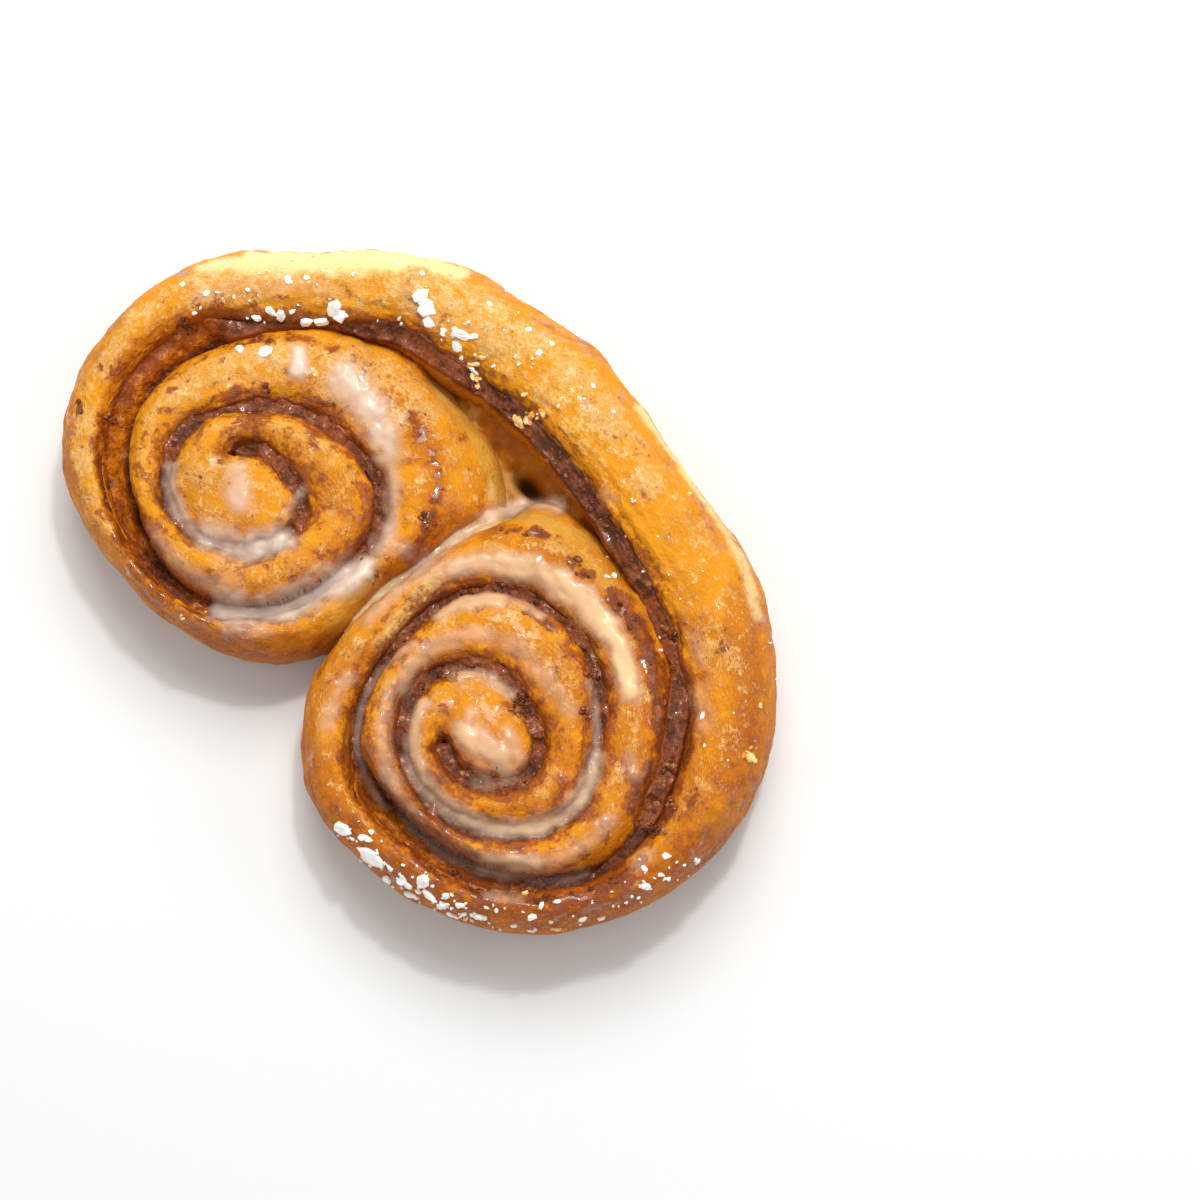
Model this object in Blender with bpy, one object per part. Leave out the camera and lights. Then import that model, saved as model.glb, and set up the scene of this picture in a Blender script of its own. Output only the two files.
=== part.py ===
"""Nut pastry swirl.

One long strip of laminated dough, spread with a nut filling on its inner face
and rolled up from both ends, so that two spiral rolls lie side by side under
one arch.  The rolls have baked together along a short seam.

Two solids: the dough, with the seam, the torn flakes of crust, the white icing
flakes and the thick strokes of glaze fused to it, and the nut filling, which
runs through the food between the turns.

Each roll is drawn round its own heart in polar form.  The angle counts in
degrees from the line that points at the other roll, grows as the roll unwinds,
and passes 360 for each turn.  +X runs from the left roll to the right roll,
+Y towards the arch, +Z up.
"""
import math
import random

import bmesh
import bpy

MM = 0.001

# ---- the filling and the room round it, millimetres
FILLING_THICK = 1.4
CLEARANCE = 0.3
WALL_OFFSET = FILLING_THICK / 2 + CLEARANCE
FILLING_FLOOR = 0.7
MERGE = 0.001

# ---- turns
STEP = 9                       # degrees between two cross-sections
KNOT = 45                      # degrees between two named radii of the filling
RIM_KNOT = 30                  # degrees between two named radii of the rim
TURN = 360
ARCH_ANGLE = 630               # where both rolls hand over to the arch
FREE_ANGLE = 369               # where the outermost turn begins to show its side
FREE_BEFORE = 5                # the side comes free from this much before that angle
FREE_AFTER = 27                # to this much after it
TIP_SLICES = 4                 # cross-sections that turn about the filling's tip

# ---- left roll, millimetres: filling every eighth of a turn, rim every twelfth
LEFT_HEART = -31.4
LEFT_START = -162
LEFT_FILLING = (11.6, 11.2, 8.9, 8.8, 7.7, 8.1, 9.8, 16.3, 20.5, 20.1, 20.9,
                23.2, 19.7, 19.3, 20.9, 24.0, 32.5, 37.3, 45.3)
LEFT_FILLING_FROM = -180
LEFT_RIM = (27.5, 27.7, 26.6, 26.7, 31.0, 40.5, 47.5, 52.4, 54.5, 65.2)
LEFT_FOOT = (44.3, 47.4)       # foot of the flank that faces the arch
FOOT_ANGLES = (270, 306)       # between these the foot goes from one radius to the other
CORNER_ANGLE = 288             # past this the foot gives way to the seam

# ---- right roll
RIGHT_HEART = 31.4
RIGHT_START = -315
RIGHT_FILLING = (8.3, 8.4, 8.8, 10.3, 9.5, 9.4, 13.4, 16.1, 16.1, 15.9, 17.4,
                 20.6, 20.4, 25.3, 29.1, 25.3, 24.6, 21.5, 24.8, 32.7, 36.2, 43.3)
RIGHT_FILLING_FROM = -315
RIGHT_RIM = (35.5, 36.1, 35.6, 32.7, 33.0, 36.9, 42.3, 50.4, 56.8, 63.0)
RIGHT_FOOT = (42.3, 49.0)

# ---- the arch, at equal steps of x from heart to heart
ARCH_INNER = (45.3, 48.4, 48.8, 46.6, 43.3)
ARCH_OUTER = (65.2, 68.6, 68.7, 65.5, 63.0)
ARCH_SLICES = 16

# ---- the seam between the rolls: its x at equal steps of y
SEAM_FROM = -5.0
SEAM_TO = 36.0
SEAM_X = (-4.0, -4.1, -2.7, -1.1, 2.4)
SEAM_GAP = 0.2
SEAM_HALF_WIDTH = 2.6
SEAM_TOP = 17.5
CORNER_ROUND = 1.5             # where the seam meets the flank that faces the arch
UNDERSIDE = 0.5                # the seam's own underside clears the tray

# ---- heights, millimetres
LEFT_CREST = (27.5, 28.0, 27.5, 28.0, 27.0, 26.5, 26.5, 25.0, 23.5, 23.5, 26.0, 29.0)
LEFT_CREST_FROM = -360
RIGHT_CREST = (28.0, 28.0, 28.0, 27.5, 27.0, 28.0, 27.5, 25.5, 23.5, 24.5, 27.5, 29.5)
RIGHT_CREST_FROM = -360
CREST_KNOT = 90
ARCH_CREST = 30.5
WAVE = 0.45                    # slow rise and fall of a roll's crest
WAVES_A_TURN = 3.3
WAVE_SHIFT = 40                # degrees
ARCH_WAVE = 0.3
ARCH_WAVE_TURN = 17.0          # radians of wave along the arch
CREST_REACH = 7.0              # the crest lies at most this far from the inner wall
CROWN_TURNS = (-90, -62, -38, -18, 0, 20, 38, 56, 74, 90)
WALL_FOOT = 2.0                # where an inner wall meets the rounding at the tray
SIDE_HEIGHT = 13.0             # where a free side bulges most
SIDE_WAIST = 0.62              # part of that height where the side draws in again
SIDE_FOOT = 2.6                # height where a free side turns under
SIDE_FOOT_IN = 1.6
FLOOR_ROUND = 4.5              # how far a free side tucks in at the tray
WALL_ROUND = 1.5               # the same for a wall that faces a neighbour
RELIEF = 0.35                  # crags of the baked crown
LAYER_STEP = 0.4               # ridges of the dough's layers on a free side
LAYER_TURN = 74                # where on the crown the upper ridge lies
LOWER_LAYER = 1.5              # the lower ridge draws in this many times as far

# drop from the crest to the top of each wall, by angle
INNER_DROP = ((-360, 4.2), (300, 4.2), (450, 5.0), (560, 5.5), (630, 6.0))
OUTER_DROP = ((-360, 4.4), (30, 4.6), (90, 6.0), (135, 7.0), (180, 8.0), (225, 11.0),
              (270, 15.0), (315, 14.0), (340, 10.5), (365, 10.5), (390, 11.5), (630, 16.0))
# how far the filling leans outward over the flank of the outermost turn
LEFT_LEAN = ((-360, 0.0), (400, 0.0), (460, 3.0), (555, 3.4), (590, 0.0))
RIGHT_LEAN = ((-360, 0.0), (400, 0.0), (440, 3.4), (480, 2.6), (540, 0.0))
LEAN_DEPTH = 9.0               # how far below its top edge an inner wall begins to lean
FILLING_DIP = 0.5              # the filling ends this far below the wall's top edge
FILLING_LUMP = 0.5             # and is uneven by this much
SWELL_SHARE = 0.35             # a leaning ribbon is thicker by this part of its lean
SWELL_MOST = 0.9

# ---- white icing flakes: where, angle or part of the arch, place across 0..1, length
ICING_FLAKES = (
    ("left", 623, 0.37, 5.8), ("left", 605, 0.20, 3.6), ("left", 598, 0.22, 2.6),
    ("left", 591, 0.20, 2.8), ("left", 586, 0.29, 2.8), ("left", 218, 0.64, 3.4),
    ("left", 227, 0.58, 4.0), ("arch", 0.07, 0.38, 4.4), ("arch", 0.05, 0.55, 2.8),
    ("right", 436, 0.73, 5.4), ("right", 451, 0.71, 7.8), ("right", 443, 0.60, 2.8),
    ("right", 459, 0.86, 2.8), ("right", 464, 0.72, 3.0), ("right", 468, 0.87, 3.0),
    ("right", 471, 0.60, 4.0), ("right", 475, 0.72, 3.6), ("right", 480, 0.79, 3.2),
    ("right", 486, 0.66, 2.4), ("right", 493, 0.74, 3.0), ("right", 509, 0.64, 2.4),
    ("right", 542, 0.66, 3.4),
)
ICING_THICK = 0.8
FLAKE_SIDES = 7
FLAKE_DROOP = 18.0             # bends a flake over the crown
FLAKE_DEPTH = 0.9              # how far it is sunk, in thicknesses
FLAKE_BREADTH = 0.72           # breadth as a part of length

# ---- torn flakes of crust and stuck crumbs, in the dough's own colour
CRUST_FLAKES = (
    ("arch", 0.18, 0.10, 5.2), ("arch", 0.375, 0.10, 6.4), ("right", 581, 0.70, 3.2),
    ("right", 515, 0.95, 4.4),
)
CRUST_THICK = 1.3

# ---- thick strokes of glaze: where, angles and places across at both ends, width
GLAZE_STROKES = (
    ("right", 326, 0.28, 240, 0.42, 4.8), ("left", 386, 0.24, 338, 0.46, 4.2),
    ("left", 256, 0.50, 291, 0.36, 4.2), ("right", 18, 0.56, 64, 0.54, 3.4),
    ("right", 122, 0.68, 166, 0.66, 3.4),
)
GLAZE_RISE = 0.7
GLAZE_SUNK = 0.9
GLAZE_EDGE = 0.15              # thickness at its edge
GLAZE_STEPS = 9
GLAZE_TAPER = 0.08             # how much of the swelling is cut off at each end

# ---- the seam's and the pit's own solids
SEAM_STEPS = 8
SEAM_INSET = 1.0               # the weld ends this far inside the seam's two ends
SEAM_RIPPLE = 0.8
SEAM_RIPPLE_LENGTH = 4.0
PIT_STEPS = 6
PIT_PARTS = (0.10, 0.72)       # the stretch of the arch that the pit borders
PIT_ROLL_SIDE = ((15.0, 42.0), (6.0, 37.5), (1.0, 31.5), (-8.0, 37.5), (-22.0, 42.5))
PIT_HEIGHTS = (8.5, 9.5)       # at the arch and at the rolls

# ---- plain colours, before the looks are added
CRUST_COLOUR = (0.62, 0.27, 0.06)
NUT_COLOUR = (0.10, 0.035, 0.018)

SEED = 7


def lerp(low, high, part):
    return low + (high - low) * part


def smoothstep(low, high, value):
    part = min(max((value - low) / (high - low), 0.0), 1.0)
    return part * part * (3 - 2 * part)


def along(values, part):
    """Smooth curve through equally spaced values, part running 0 to 1."""
    place = min(max(part, 0.0), 1.0) * (len(values) - 1)
    index = min(int(place), len(values) - 2)
    t = place - index
    low, high = values[index], values[index + 1]
    before = values[max(index - 1, 0)]
    after = values[min(index + 2, len(values) - 1)]
    slope_low = (high - before) / 2
    slope_high = (after - low) / 2
    return (low * (2 * t ** 3 - 3 * t * t + 1) + high * (3 * t * t - 2 * t ** 3)
            + slope_low * (t ** 3 - 2 * t * t + t) + slope_high * (t ** 3 - t * t))


def by_angle(table, angle):
    """Smooth step from one (angle, value) pair to the next."""
    for (low, value_low), (high, value_high) in zip(table, table[1:]):
        if angle <= high:
            return lerp(value_low, value_high, smoothstep(low, high, angle))
    return table[-1][1]


def crags(x, y):
    """Small unevenness of the crown."""
    return RELIEF * (math.sin(x / 2.3 + 1.1) * math.sin(y / 2.7)
                     + 0.7 * math.sin(x / 1.3 - y / 1.9 + 0.4))


def seam_x(y):
    return along(SEAM_X, (y - SEAM_FROM) / (SEAM_TO - SEAM_FROM))


class Roll:
    """One spiral roll.  side is +1 for the left roll and -1 for its mirror twin."""

    def __init__(self, side, heart, start, filling, filling_from, rim, foot, crest,
                 crest_from, lean):
        self.side = side
        self.heart = heart
        self.start = start
        self.filling = filling
        self.filling_from = filling_from
        self.rim = rim
        self.foot = foot
        self.crest = crest
        self.crest_from = crest_from
        self.lean = lean

    def point(self, angle, radius):
        turn = math.radians(angle)
        return (self.heart + self.side * radius * math.cos(turn), -radius * math.sin(turn))

    def filling_radius(self, angle):
        span = KNOT * (len(self.filling) - 1)
        return along(self.filling, (angle - self.filling_from) / span)

    def crest_height(self, angle):
        span = CREST_KNOT * (len(self.crest) - 1)
        return along(self.crest, (angle - self.crest_from) / span)

    def seam_radius(self, angle):
        """Where the ray at this angle meets the seam."""
        turn = math.radians(angle)
        radius = abs(self.heart)
        for _ in range(20):
            reach = (seam_x(-radius * math.sin(turn)) - self.heart) * self.side
            radius = reach / math.cos(turn)
        return radius - SEAM_GAP

    def outer_radius(self, angle):
        """Outer wall of the strip: next turn, foot of the flank, seam or rim."""
        if angle >= FREE_ANGLE:
            return along(self.rim, (angle - TURN) / (RIM_KNOT * (len(self.rim) - 1)))
        if angle <= ARCH_ANGLE - TURN:
            return self.filling_radius(angle + TURN) - WALL_OFFSET
        foot = lerp(self.foot[0], self.foot[1], smoothstep(*FOOT_ANGLES, angle))
        if angle < CORNER_ANGLE:
            return foot
        seam = self.seam_radius(angle)
        return min(foot, seam) - CORNER_ROUND * math.exp(-abs(foot - seam) / CORNER_ROUND)


LEFT = Roll(1, LEFT_HEART, LEFT_START, LEFT_FILLING, LEFT_FILLING_FROM, LEFT_RIM,
            LEFT_FOOT, LEFT_CREST, LEFT_CREST_FROM, LEFT_LEAN)
RIGHT = Roll(-1, RIGHT_HEART, RIGHT_START, RIGHT_FILLING, RIGHT_FILLING_FROM, RIGHT_RIM,
             RIGHT_FOOT, RIGHT_CREST, RIGHT_CREST_FROM, RIGHT_LEAN)
ROLLS = {"left": LEFT, "right": RIGHT}


class Section:
    """One cross-section of the strip, from its inner to its outer wall."""

    def __init__(self, inner, outer, crest, inner_top, outer_top, lean=0.0, free=0.0):
        self.inner = inner
        self.outer = outer
        self.crest = crest
        self.inner_top = inner_top
        self.outer_top = outer_top
        self.lean = lean
        self.free = free
        self.width = math.dist(inner, outer)

    def place(self, across, height):
        part = across / self.width
        return (lerp(self.inner[0], self.outer[0], part),
                lerp(self.inner[1], self.outer[1], part), height)

    def crest_across(self):
        return min(self.width / 2, CREST_REACH)

    def top_profile(self, turn):
        """Across and height on the crown: turn -90 at the inner wall, 90 at the outer."""
        bend = math.radians(turn)
        middle = self.crest_across()
        if turn < 0:
            lean = min(self.lean, middle / 2)
            return (middle + (middle - lean) * math.sin(bend),
                    lerp(self.inner_top, self.crest, math.cos(bend)))
        return (middle + (self.width - middle) * math.sin(bend),
                lerp(self.outer_top, self.crest, math.cos(bend)))

    def ring(self):
        tuck = min(WALL_ROUND, self.width / 4)
        knee = self.inner_top - LEAN_DEPTH
        outer_tuck = lerp(tuck, FLOOR_ROUND, self.free)
        points = [self.place(tuck, 0.0), self.place(0.0, WALL_FOOT), self.place(0.0, knee)]
        layer = LAYER_STEP * self.free
        for turn in CROWN_TURNS:
            across, height = self.top_profile(turn)
            x, y, height = self.place(across - (layer if turn == LAYER_TURN else 0.0), height)
            points.append((x, y, height + crags(x, y) * math.cos(math.radians(turn))))
        points.append(self.place(self.width - LOWER_LAYER * layer, self.outer_top * SIDE_WAIST))
        points.append(self.place(self.width - SIDE_FOOT_IN * self.free, SIDE_FOOT))
        points.append(self.place(self.width - outer_tuck, 0.0))
        return points


def roll_section(roll, angle):
    wave = math.radians(angle * WAVES_A_TURN + WAVE_SHIFT * roll.side)
    crest = roll.crest_height(angle) + WAVE * math.sin(wave)
    free = smoothstep(FREE_ANGLE - FREE_BEFORE, FREE_ANGLE + FREE_AFTER, angle)
    bonded = crest - by_angle(OUTER_DROP, angle)
    return Section(
        roll.point(angle, roll.filling_radius(angle) + WALL_OFFSET),
        roll.point(angle, roll.outer_radius(angle)),
        crest,
        crest - by_angle(INNER_DROP, angle),
        lerp(bonded, SIDE_HEIGHT, free),
        by_angle(roll.lean, angle),
        free,
    )


def heart_sections(roll):
    """Chords across the heart, from its far side to the mouth of the strip.

    The first few turn about the tip, where the filling begins, and leave it clear.
    """
    sections = []
    last = (TURN // STEP - TIP_SLICES) // 2
    crest = roll.crest_height(roll.start)
    wall = crest - INNER_DROP[0][1]
    tip = roll.point(roll.start, roll.filling_radius(roll.start))
    for index in range(last - 1, -TIP_SLICES - 1, -1):
        inner_angle = roll.start + STEP * index
        outer_angle = roll.start + TURN - STEP * (index + TIP_SLICES)
        swell = math.sqrt(1 - max(index / last * 2 - 1, 0.0) ** 2)
        inner = roll.point(inner_angle, roll.filling_radius(inner_angle) - WALL_OFFSET)
        sections.append(Section(
            inner if index > 0 else tip,
            roll.point(outer_angle, roll.filling_radius(outer_angle) - WALL_OFFSET),
            lerp(wall, crest, swell), wall, wall))
    return sections


def turn_sections(roll):
    return [roll_section(roll, angle) for angle in range(roll.start + STEP, ARCH_ANGLE + 1, STEP)]


def arch_section(part):
    x = lerp(LEFT_HEART, RIGHT_HEART, part)
    end_crest = lerp(LEFT_CREST[-1], RIGHT_CREST[-1], part)
    crest = lerp(end_crest, ARCH_CREST, math.sin(math.pi * part))
    crest += ARCH_WAVE * math.sin(part * ARCH_WAVE_TURN)
    return Section(
        (x, along(ARCH_INNER, part) + WALL_OFFSET),
        (x, along(ARCH_OUTER, part)),
        crest,
        crest - INNER_DROP[-1][1],
        SIDE_HEIGHT,
        free=1.0,
    )


def strip_sections():
    arch = [arch_section(index / ARCH_SLICES) for index in range(1, ARCH_SLICES)]
    left = heart_sections(LEFT) + turn_sections(LEFT)
    right = heart_sections(RIGHT) + turn_sections(RIGHT)
    return left + arch + right[::-1]


def filling_ring(inner_wall, centre, inner_top, lean, lump):
    """Ribbon of filling, leaning out over the flank where the groove is open."""
    half = FILLING_THICK / 2
    reach = math.dist(inner_wall, centre)
    out = ((inner_wall[0] - centre[0]) / reach, (inner_wall[1] - centre[1]) / reach)
    knee = inner_top - LEAN_DEPTH
    top = inner_top - FILLING_DIP + lump
    top_lean = lean * (top - knee) / (inner_top - knee)
    swell = min(SWELL_SHARE * lean, SWELL_MOST)
    profile = ((half, FILLING_FLOOR), (half, knee), (top_lean + half, top),
               (top_lean - half - swell, top), (-half, knee), (-half, FILLING_FLOOR))
    return [(centre[0] + out[0] * across, centre[1] + out[1] * across, height)
            for across, height in profile]


def filling_rings():
    """The one ribbon of filling, from the left heart over the arch to the right heart."""
    draw = random.Random(SEED)

    def rings_of(roll):
        rings = []
        for angle in range(roll.start + STEP, ARCH_ANGLE + 1, STEP):
            section = roll_section(roll, angle)
            lean = min(section.lean, section.crest_across() / 2)
            centre = roll.point(angle, roll.filling_radius(angle))
            rings.append(filling_ring(section.inner, centre, section.inner_top, lean,
                                      draw.uniform(-FILLING_LUMP, FILLING_LUMP)))
        return rings

    arch = []
    for index in range(1, ARCH_SLICES):
        section = arch_section(index / ARCH_SLICES)
        centre = (section.inner[0], section.inner[1] - WALL_OFFSET)
        arch.append(filling_ring(section.inner, centre, section.inner_top, section.lean,
                                 draw.uniform(-FILLING_LUMP, FILLING_LUMP)))
    return rings_of(LEFT) + arch + rings_of(RIGHT)[::-1]


def make_object(name, bm, material=None):
    """Finish a mesh: faces out, round faces smooth, millimetres to metres."""
    bmesh.ops.recalc_face_normals(bm, faces=bm.faces)
    bmesh.ops.scale(bm, verts=bm.verts, vec=(MM, MM, MM))
    mesh = bpy.data.meshes.new(name)
    bm.to_mesh(mesh)
    bm.free()
    mesh.shade_smooth()
    mesh.set_sharp_from_angle(angle=math.radians(50))
    if material:
        mesh.materials.append(material)
    return bpy.data.objects.new(name, mesh)


def tube(rings):
    """Closed skin through rings of equal length, with a fan over each end.

    Every quad is cut along the same diagonal, so that facing walls stay parallel.
    """
    bm = bmesh.new()
    rows = [[bm.verts.new(point) for point in ring] for ring in rings]
    count = len(rows[0])
    for low, high in zip(rows, rows[1:]):
        for index in range(count):
            after = (index + 1) % count
            bm.faces.new((low[index], low[after], high[after]))
            bm.faces.new((low[index], high[after], high[index]))
    for row in (rows[0], rows[-1]):
        middle = [sum(vert.co[axis] for vert in row) / count for axis in range(3)]
        hub = bm.verts.new(middle)
        for index in range(count):
            bm.faces.new((row[index], row[(index + 1) % count], hub))
    bmesh.ops.remove_doubles(bm, verts=bm.verts, dist=MERGE)
    return bm


def prism(outline, bottom, top):
    """Upright prism on an outline of (x, y) points; top gives a height for each."""
    bm = bmesh.new()
    low = [bm.verts.new((x, y, bottom)) for x, y in outline]
    high = [bm.verts.new((x, y, height)) for (x, y), height in zip(outline, top)]
    count = len(outline)
    for index in range(count):
        after = (index + 1) % count
        bm.faces.new((low[index], low[after], high[after], high[index]))
    bm.faces.new(low)
    bm.faces.new(high)
    bmesh.ops.triangulate(bm, faces=bm.faces)
    return bm


def seam_weld():
    """The crumb where the two rolls grew together, with a hollow top."""
    outline_left = []
    outline_right = []
    for index in range(SEAM_STEPS + 1):
        y = lerp(SEAM_FROM + SEAM_INSET, SEAM_TO - SEAM_INSET, index / SEAM_STEPS)
        outline_left.append((seam_x(y) - SEAM_HALF_WIDTH, y))
        outline_right.append((seam_x(y) + SEAM_HALF_WIDTH, y))
    outline = outline_left + outline_right[::-1]
    top = [SEAM_TOP + SEAM_RIPPLE * math.sin(y / SEAM_RIPPLE_LENGTH) for _, y in outline]
    return make_object("seam_weld", prism(outline, UNDERSIDE, top))


def pit_floor():
    """Low web of dough that closes the pit between the seam and the arch."""
    arch_side = []
    for index in range(PIT_STEPS + 1):
        part = lerp(*PIT_PARTS, index / PIT_STEPS)
        x = lerp(LEFT_HEART, RIGHT_HEART, part)
        arch_side.append((x, along(ARCH_INNER, part) - WALL_OFFSET - CLEARANCE))
    outline = arch_side + list(PIT_ROLL_SIDE)
    top = [PIT_HEIGHTS[0]] * len(arch_side) + [PIT_HEIGHTS[1]] * len(PIT_ROLL_SIDE)
    return make_object("pit_floor", prism(outline, UNDERSIDE, top))


def surface_point(where, along_strip, across):
    """Point on the crown and two directions in it: along the strip and across it."""
    def at(position, side):
        if where == "arch":
            section = arch_section(position)
        else:
            section = roll_section(ROLLS[where], position)
        distance, height = section.top_profile(lerp(-90, 90, side))
        return section.place(distance, height)

    nudge = 0.004 if where == "arch" else 0.5
    here = at(along_strip, across)
    ahead = at(along_strip + nudge, across)
    beside = at(along_strip, min(across + 0.02, 1.0))
    forward = unit([b - a for a, b in zip(here, ahead)])
    sideways = unit([b - a for a, b in zip(here, beside)])
    return here, forward, sideways


def unit(vector):
    length = math.sqrt(sum(value * value for value in vector))
    return [value / length for value in vector]


def cross(a, b):
    return [a[1] * b[2] - a[2] * b[1], a[2] * b[0] - a[0] * b[2], a[0] * b[1] - a[1] * b[0]]


def upward(forward, sideways):
    normal = unit(cross(forward, sideways))
    return normal if normal[2] > 0 else [-value for value in normal]


def flake(name, where, along_strip, across, length, thick, draw):
    """Uneven chip that lies on the crown, sunk into it by most of its thickness."""
    here, forward, sideways = surface_point(where, along_strip, across)
    normal = upward(forward, sideways)
    spin = draw.uniform(0, math.tau)
    bm = bmesh.new()
    rows = []
    for rise, size in ((-FLAKE_DEPTH * thick, 0.85), (thick, 1.0)):
        row = []
        for index in range(FLAKE_SIDES):
            turn = spin + math.tau * index / FLAKE_SIDES
            reach = length / 2 * size * draw.uniform(0.72, 1.1)
            a = reach * math.cos(turn)
            b = reach * FLAKE_BREADTH * math.sin(turn)
            lift = rise * draw.uniform(0.8, 1.1) - b * b / FLAKE_DROOP
            row.append(bm.verts.new([here[axis] + forward[axis] * a + sideways[axis] * b
                                     + normal[axis] * lift for axis in range(3)]))
        rows.append(row)
    low, high = rows
    for index in range(FLAKE_SIDES):
        after = (index + 1) % FLAKE_SIDES
        bm.faces.new((low[index], low[after], high[after], high[index]))
    bm.faces.new(low)
    bm.faces.new(high)
    bmesh.ops.triangulate(bm, faces=bm.faces)
    return make_object(name, bm)


def glaze_stroke(name, where, first, first_across, last, last_across, width):
    """Thick stroke of glaze along the crown, thin at both ends."""
    rings = []
    for index in range(GLAZE_STEPS + 1):
        part = index / GLAZE_STEPS
        across = lerp(first_across, last_across, part)
        here, forward, sideways = surface_point(where, lerp(first, last, part), across)
        normal = upward(forward, sideways)
        swell = math.sin(math.pi * lerp(GLAZE_TAPER, 1 - GLAZE_TAPER, part)) ** 0.5
        half = width / 2 * swell
        rise = GLAZE_RISE * swell
        profile = ((-half, -GLAZE_SUNK), (-half, GLAZE_EDGE), (-half / 2, rise),
                   (half / 2, rise), (half, GLAZE_EDGE), (half, -GLAZE_SUNK))
        rings.append([[here[axis] + sideways[axis] * b + normal[axis] * c for axis in range(3)]
                      for b, c in profile])
    return make_object(name, tube(rings))


def new_material(name, colour, roughness):
    material = bpy.data.materials.new(name)
    material.use_nodes = True
    shader = material.node_tree.nodes["Principled BSDF"]
    shader.inputs["Base Color"].default_value = (*colour, 1.0)
    shader.inputs["Roughness"].default_value = roughness
    shader.inputs["Metallic"].default_value = 0.0
    return material


def fuse(target, pieces):
    """Join the pieces to the target with one Boolean union, applied."""
    collection = bpy.data.collections.new("fused_pieces")
    bpy.context.scene.collection.children.link(collection)
    for piece in pieces:
        piece.hide_render = True
        piece.display_type = "WIRE"
        collection.objects.link(piece)
    union = target.modifiers.new("Fuse", "BOOLEAN")
    union.operation = "UNION"
    union.operand_type = "COLLECTION"
    union.collection = collection
    union.solver = "MANIFOLD"
    graph = bpy.context.evaluated_depsgraph_get()
    fused = bpy.data.meshes.new_from_object(target.evaluated_get(graph), depsgraph=graph)
    target.modifiers.clear()
    target.data = fused
    for piece in pieces:
        bpy.data.objects.remove(piece)
    bpy.data.collections.remove(collection)


def keep_largest_body(target):
    """Drop the loose scraps that fusing can leave."""
    bm = bmesh.new()
    bm.from_mesh(target.data)
    bmesh.ops.remove_doubles(bm, verts=bm.verts, dist=1e-6)
    waiting = set(bm.verts)
    bodies = []
    while waiting:
        body = {waiting.pop()}
        edge_of_body = list(body)
        while edge_of_body:
            vert = edge_of_body.pop()
            for edge in vert.link_edges:
                other = edge.other_vert(vert)
                if other in waiting:
                    waiting.remove(other)
                    body.add(other)
                    edge_of_body.append(other)
        bodies.append(body)
    largest = max(bodies, key=len)
    scraps = [vert for body in bodies if body is not largest for vert in body]
    bmesh.ops.delete(bm, geom=scraps, context="VERTS")
    bmesh.ops.triangulate(bm, faces=bm.faces)
    bm.to_mesh(target.data)
    bm.free()


def settle_on_origin(objects, reference):
    """Put the origin at the bottom centre of the reference's box."""
    xs = [vert.co.x for vert in reference.data.vertices]
    ys = [vert.co.y for vert in reference.data.vertices]
    shift = ((min(xs) + max(xs)) / 2, (min(ys) + max(ys)) / 2)
    for item in objects:
        for vert in item.data.vertices:
            vert.co.x -= shift[0]
            vert.co.y -= shift[1]


def build():
    for item in list(bpy.data.objects):
        bpy.data.objects.remove(item)
    scene = bpy.context.scene
    draw = random.Random(SEED)

    dough_material = new_material("golden_crust", CRUST_COLOUR, 0.4)
    filling_material = new_material("nut_filling", NUT_COLOUR, 0.5)

    dough = make_object("dough", tube([section.ring() for section in strip_sections()]),
                        dough_material)
    filling = make_object("nut_filling", tube(filling_rings()), filling_material)
    scene.collection.objects.link(dough)
    scene.collection.objects.link(filling)

    pieces = [seam_weld(), pit_floor()]
    for number, (where, position, across, length) in enumerate(ICING_FLAKES):
        pieces.append(flake(f"icing_flake_{number}", where, position, across, length,
                            ICING_THICK, draw))
    for number, (where, position, across, length) in enumerate(CRUST_FLAKES):
        pieces.append(flake(f"crust_flake_{number}", where, position, across, length,
                            CRUST_THICK, draw))
    for number, stroke in enumerate(GLAZE_STROKES):
        pieces.append(glaze_stroke(f"glaze_stroke_{number}", *stroke))
    fuse(dough, pieces)
    keep_largest_body(dough)
    settle_on_origin((dough, filling), dough)


build()
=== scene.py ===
"""Looks of the nut pastry swirl: baked crust, nut filling, glaze, icing flakes.

The strip of dough is drawn again here with the part's own sizes, finely enough
for its crags, and its surface carries named masks (attributes) that the
materials read.  Lengths are millimetres in the part's drawing frame, whose
origin lies midway between the hearts of the two rolls; the last step of every
piece moves it to the part's frame and to metres.
"""
import math
import random
from dataclasses import dataclass

import bmesh
import bpy
import numpy as np
from mathutils import Matrix, Vector
from mathutils.bvhtree import BVHTree


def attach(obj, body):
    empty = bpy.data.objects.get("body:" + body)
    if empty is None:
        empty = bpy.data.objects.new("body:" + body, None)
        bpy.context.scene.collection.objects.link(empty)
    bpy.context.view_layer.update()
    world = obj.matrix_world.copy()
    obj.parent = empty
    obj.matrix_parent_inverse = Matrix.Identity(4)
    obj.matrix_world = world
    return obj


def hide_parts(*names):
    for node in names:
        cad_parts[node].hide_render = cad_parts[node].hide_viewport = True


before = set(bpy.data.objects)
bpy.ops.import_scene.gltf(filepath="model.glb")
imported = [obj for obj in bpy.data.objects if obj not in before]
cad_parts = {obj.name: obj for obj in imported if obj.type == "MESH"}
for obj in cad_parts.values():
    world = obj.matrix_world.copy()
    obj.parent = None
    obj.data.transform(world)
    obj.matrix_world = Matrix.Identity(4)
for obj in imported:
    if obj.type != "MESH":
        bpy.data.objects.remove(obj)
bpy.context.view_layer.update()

MM = 0.001
BODY = "root"
CENTRE = np.array((-1.88, 18.03, 0.0))     # the part's origin in the drawing frame

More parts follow.
